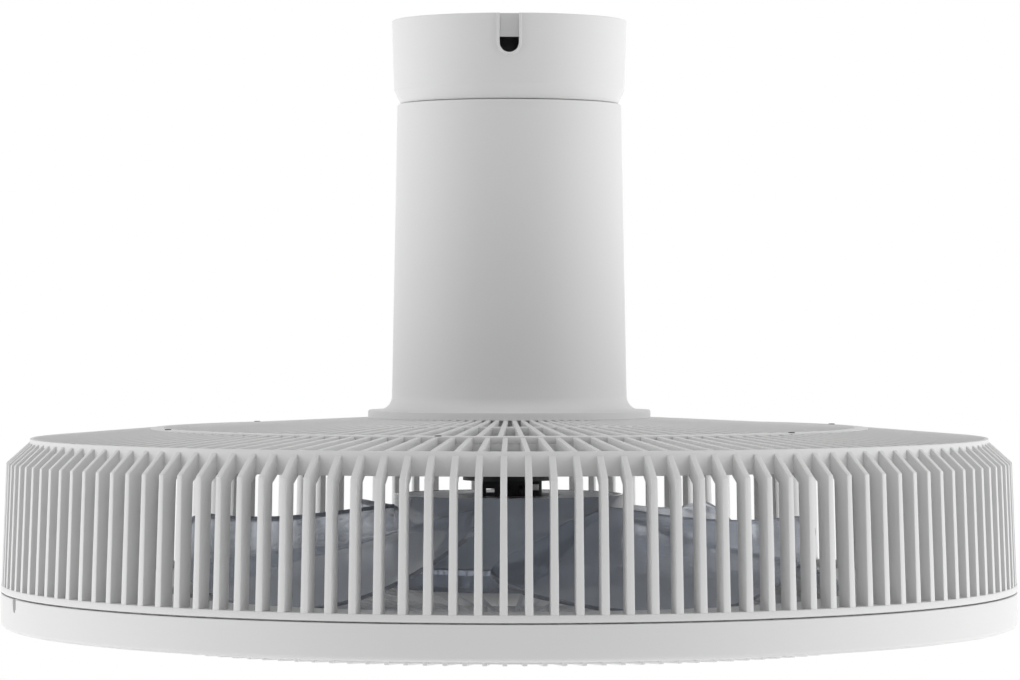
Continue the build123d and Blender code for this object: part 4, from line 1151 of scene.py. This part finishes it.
@dataclass
class CarriedOver(SubAssembly):
    """CAD nodes whose shape is already right, listed by the finish that they get."""

    nodes_by_finish: dict[Finish, list[str]] = field(
        default_factory=lambda: {
            POWDER_COAT: ["ceiling_bracket", "hanger_tube"],
            BLACK_RUBBER: ["cable_grommet", "motor_lead"],
            CREAM_POLYAMIDE: ["terminal_block"],
            BRASS: ["terminal_screws"],
            GREY_ABS: ["control_box", "control_lid"],
            SOLDER_MASK: ["control_board"],
            BLACK_CASTING: ["motor_mount"],
            WHITE_ABS: ["lead_clip", "grille_cap"],
            CORE_SHEETS: ["stator_core"],
            COPPER_WIRE: ["stator_coils"],
            FERRITE: ["magnet_ring"],
            GROUND_STEEL: ["motor_shaft", "upper_bearing", "lower_bearing"],
            ALUMINIUM: ["bearing_spacer", "lamp_board"],
            PHOSPHOR: ["lamp_chips"],
            SMOKE_POLYCARBONATE: ["hub_cap"],
            BLACK_STEEL: ["grille_screws", "mount_bolts", "shaft_clip"],
            ZINC_STEEL: [
                "canopy_screws", "neck_screws", "control_screws", "housing_screws", "board_screws",
                "impeller_screws", "impeller_nut", "hanger_bolts", "motor_bell", "bell_cover",
            ],
        }
    )

    def build(self, nodes: dict[str, Piece]) -> None:
        """Dress each carried-over node."""
        for finish, names in self.nodes_by_finish.items():
            for name in names:
                self.wardrobe.dress(nodes[name], finish)
                log.info("%s: CAD node in %s", name, finish.name)


@dataclass(frozen=True)
class Ramp:
    """How the light's strength changes with its direction, along one axis of the world."""

    axis: str
    start: float
    end: float
    start_level: float
    end_level: float
    smooth: bool = False

    def add(self, tree: Tree, way: bpy.types.Node) -> Socket:
        """Add the node of this ramp to the world.

        Args:
            tree: the world's node tree.
            way: the node that splits the direction of the light into its axes.

        Returns:
            The strength in each direction.
        """
        ramp = {
            "Value": way.outputs[self.axis],
            "From Min": self.start,
            "From Max": self.end,
            "To Min": self.start_level,
            "To Max": self.end_level,
        }
        form = "SMOOTHSTEP" if self.smooth else "LINEAR"
        return add_node(tree, "MapRange", ramp, interpolation_type=form).outputs["Result"]


@dataclass
class Studio:
    """The camera of the photograph, soft light from all round and a pale floor far below."""

    distance: float = 2.009
    eye_height: float = -0.1513
    image_width: float = 1020.0
    image_height: float = 680.0
    focal_pixels: float = 4055.0
    axis_column: float = 509.3
    horizon_row: float = 327.0
    sensor: float = 36.0
    near_clip: float = 0.01
    front: Ramp = Ramp("Y", -0.95, -0.35, 0.22, 1.32, smooth=True)
    behind: Ramp = Ramp("Y", -0.1, 0.8, 0.0, 0.5, smooth=True)
    above: Ramp = Ramp("Z", -0.7, 0.8, 2.0, 0.6)
    sideways: Ramp = Ramp("X", -1.0, 1.0, 0.97, 1.05)
    floor_paint: str = "#e2e2e2"
    floor_height: float = -2.4
    floor_size: float = 5.0
    floor_glow: float = 0.36
    under_height: float = -1.7
    under_size: float = 3.0
    under_power: float = 4.0

    def camera(self) -> None:
        """Set the camera at the place and angle worked out from the photograph."""
        data = bpy.data.cameras.new("camera")
        data.sensor_width = self.sensor
        data.lens = self.focal_pixels / self.image_width * self.sensor
        data.shift_x = (self.image_width / 2 - self.axis_column) / self.image_width
        data.clip_start = self.near_clip
        eye = bpy.data.objects.new("camera", data)
        bpy.context.scene.collection.objects.link(eye)
        eye.location = (0, -self.distance, self.eye_height)
        pitch = atan((self.image_height / 2 - self.horizon_row) / self.focal_pixels)
        eye.rotation_euler = (pi / 2 - pitch, 0, 0)
        bpy.context.scene.camera = eye

    def world(self) -> None:
        """Soft light from the sides and from below, weak from the camera's side, on white."""
        world = bpy.data.worlds.new("studio")
        bpy.context.scene.world = world
        tree = empty_tree(world)
        way = add_node(tree, "TexCoord").outputs["Generated"]
        split = add_node(tree, "SeparateXYZ", {0: way})
        ramps = (self.front, self.behind, self.above, self.sideways)
        front, behind, above, sideways = [ramp.add(tree, split) for ramp in ramps]
        around = combine(tree, "SUBTRACT", front, behind)
        sides = combine(tree, "MULTIPLY", around, sideways)
        level = combine(tree, "MULTIPLY", sides, above)
        light = add_node(tree, "Background", {"Color": WHITE, "Strength": level})
        white = add_node(tree, "Background", {"Color": WHITE, "Strength": 1.0})
        path = add_node(tree, "LightPath").outputs
        seen = combine(tree, "MAXIMUM", path["Is Camera Ray"], path["Is Transmission Ray"])
        mix = add_node(tree, "MixShader", {0: seen, 1: light.outputs[0], 2: white.outputs[0]})
        add_node(tree, "OutputWorld", {"Surface": mix.outputs[0]})

    def under_light(self) -> None:
        """A wide soft box under the fan, which the camera doesn't see."""
        data = bpy.data.lights.new("under_light", "AREA")
        data.shape = "DISK"
        data.size = self.under_size
        data.energy = self.under_power
        lamp = bpy.data.objects.new("under_light", data)
        bpy.context.scene.collection.objects.link(lamp)
        lamp.location = (0, 0, self.under_height)
        lamp.rotation_euler = (pi, 0, 0)
        lamp.visible_camera = False

    def floor(self) -> None:
        """A pale floor, clear from below, that the camera sees nearly white round the shadow."""
        clear_selection()
        bpy.ops.mesh.primitive_plane_add(size=self.floor_size, location=(0, 0, self.floor_height))
        floor = bpy.context.object
        floor.name = "floor"
        material = bpy.data.materials.new("pale_floor")
        tree = empty_tree(material)
        paint = add_node(tree, "BsdfDiffuse", {"Color": linear(self.floor_paint)})
        seen = add_node(tree, "LightPath").outputs["Is Camera Ray"]
        glow = combine(tree, "MULTIPLY", seen, self.floor_glow)
        white = add_node(tree, "Emission", {"Color": WHITE, "Strength": glow})
        pale = add_node(tree, "AddShader", {0: paint.outputs[0], 1: white.outputs[0]})
        clear = add_node(tree, "BsdfTransparent")
        side = add_node(tree, "NewGeometry").outputs["Backfacing"]
        shown = {0: side, 1: pale.outputs[0], 2: clear.outputs[0]}
        mix = add_node(tree, "MixShader", shown)
        add_node(tree, "OutputMaterial", {"Surface": mix.outputs[0]})
        floor.data.materials.append(material)
        settle(floor)

    def build(self) -> None:
        """Set up the camera, the light and the floor."""
        self.camera()
        self.world()
        self.under_light()
        self.floor()
        bpy.context.scene.view_settings.view_transform = "Standard"


def main() -> None:
    """Load the frame, build each sub-assembly in order and set up the studio."""
    logging.basicConfig(level=logging.INFO, format="%(name)s: %(message)s")
    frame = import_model()
    wardrobe = Wardrobe()
    CarriedOver(wardrobe).build(frame["nodes"])
    for assembly in (Canopy, Neck, RoofGrille, Cage, Housing, OutletGrille, Impeller):
        assembly(wardrobe).build()
        log.info("%s is done", assembly.__name__)
    Studio().build()


if __name__ == "__main__":
    main()
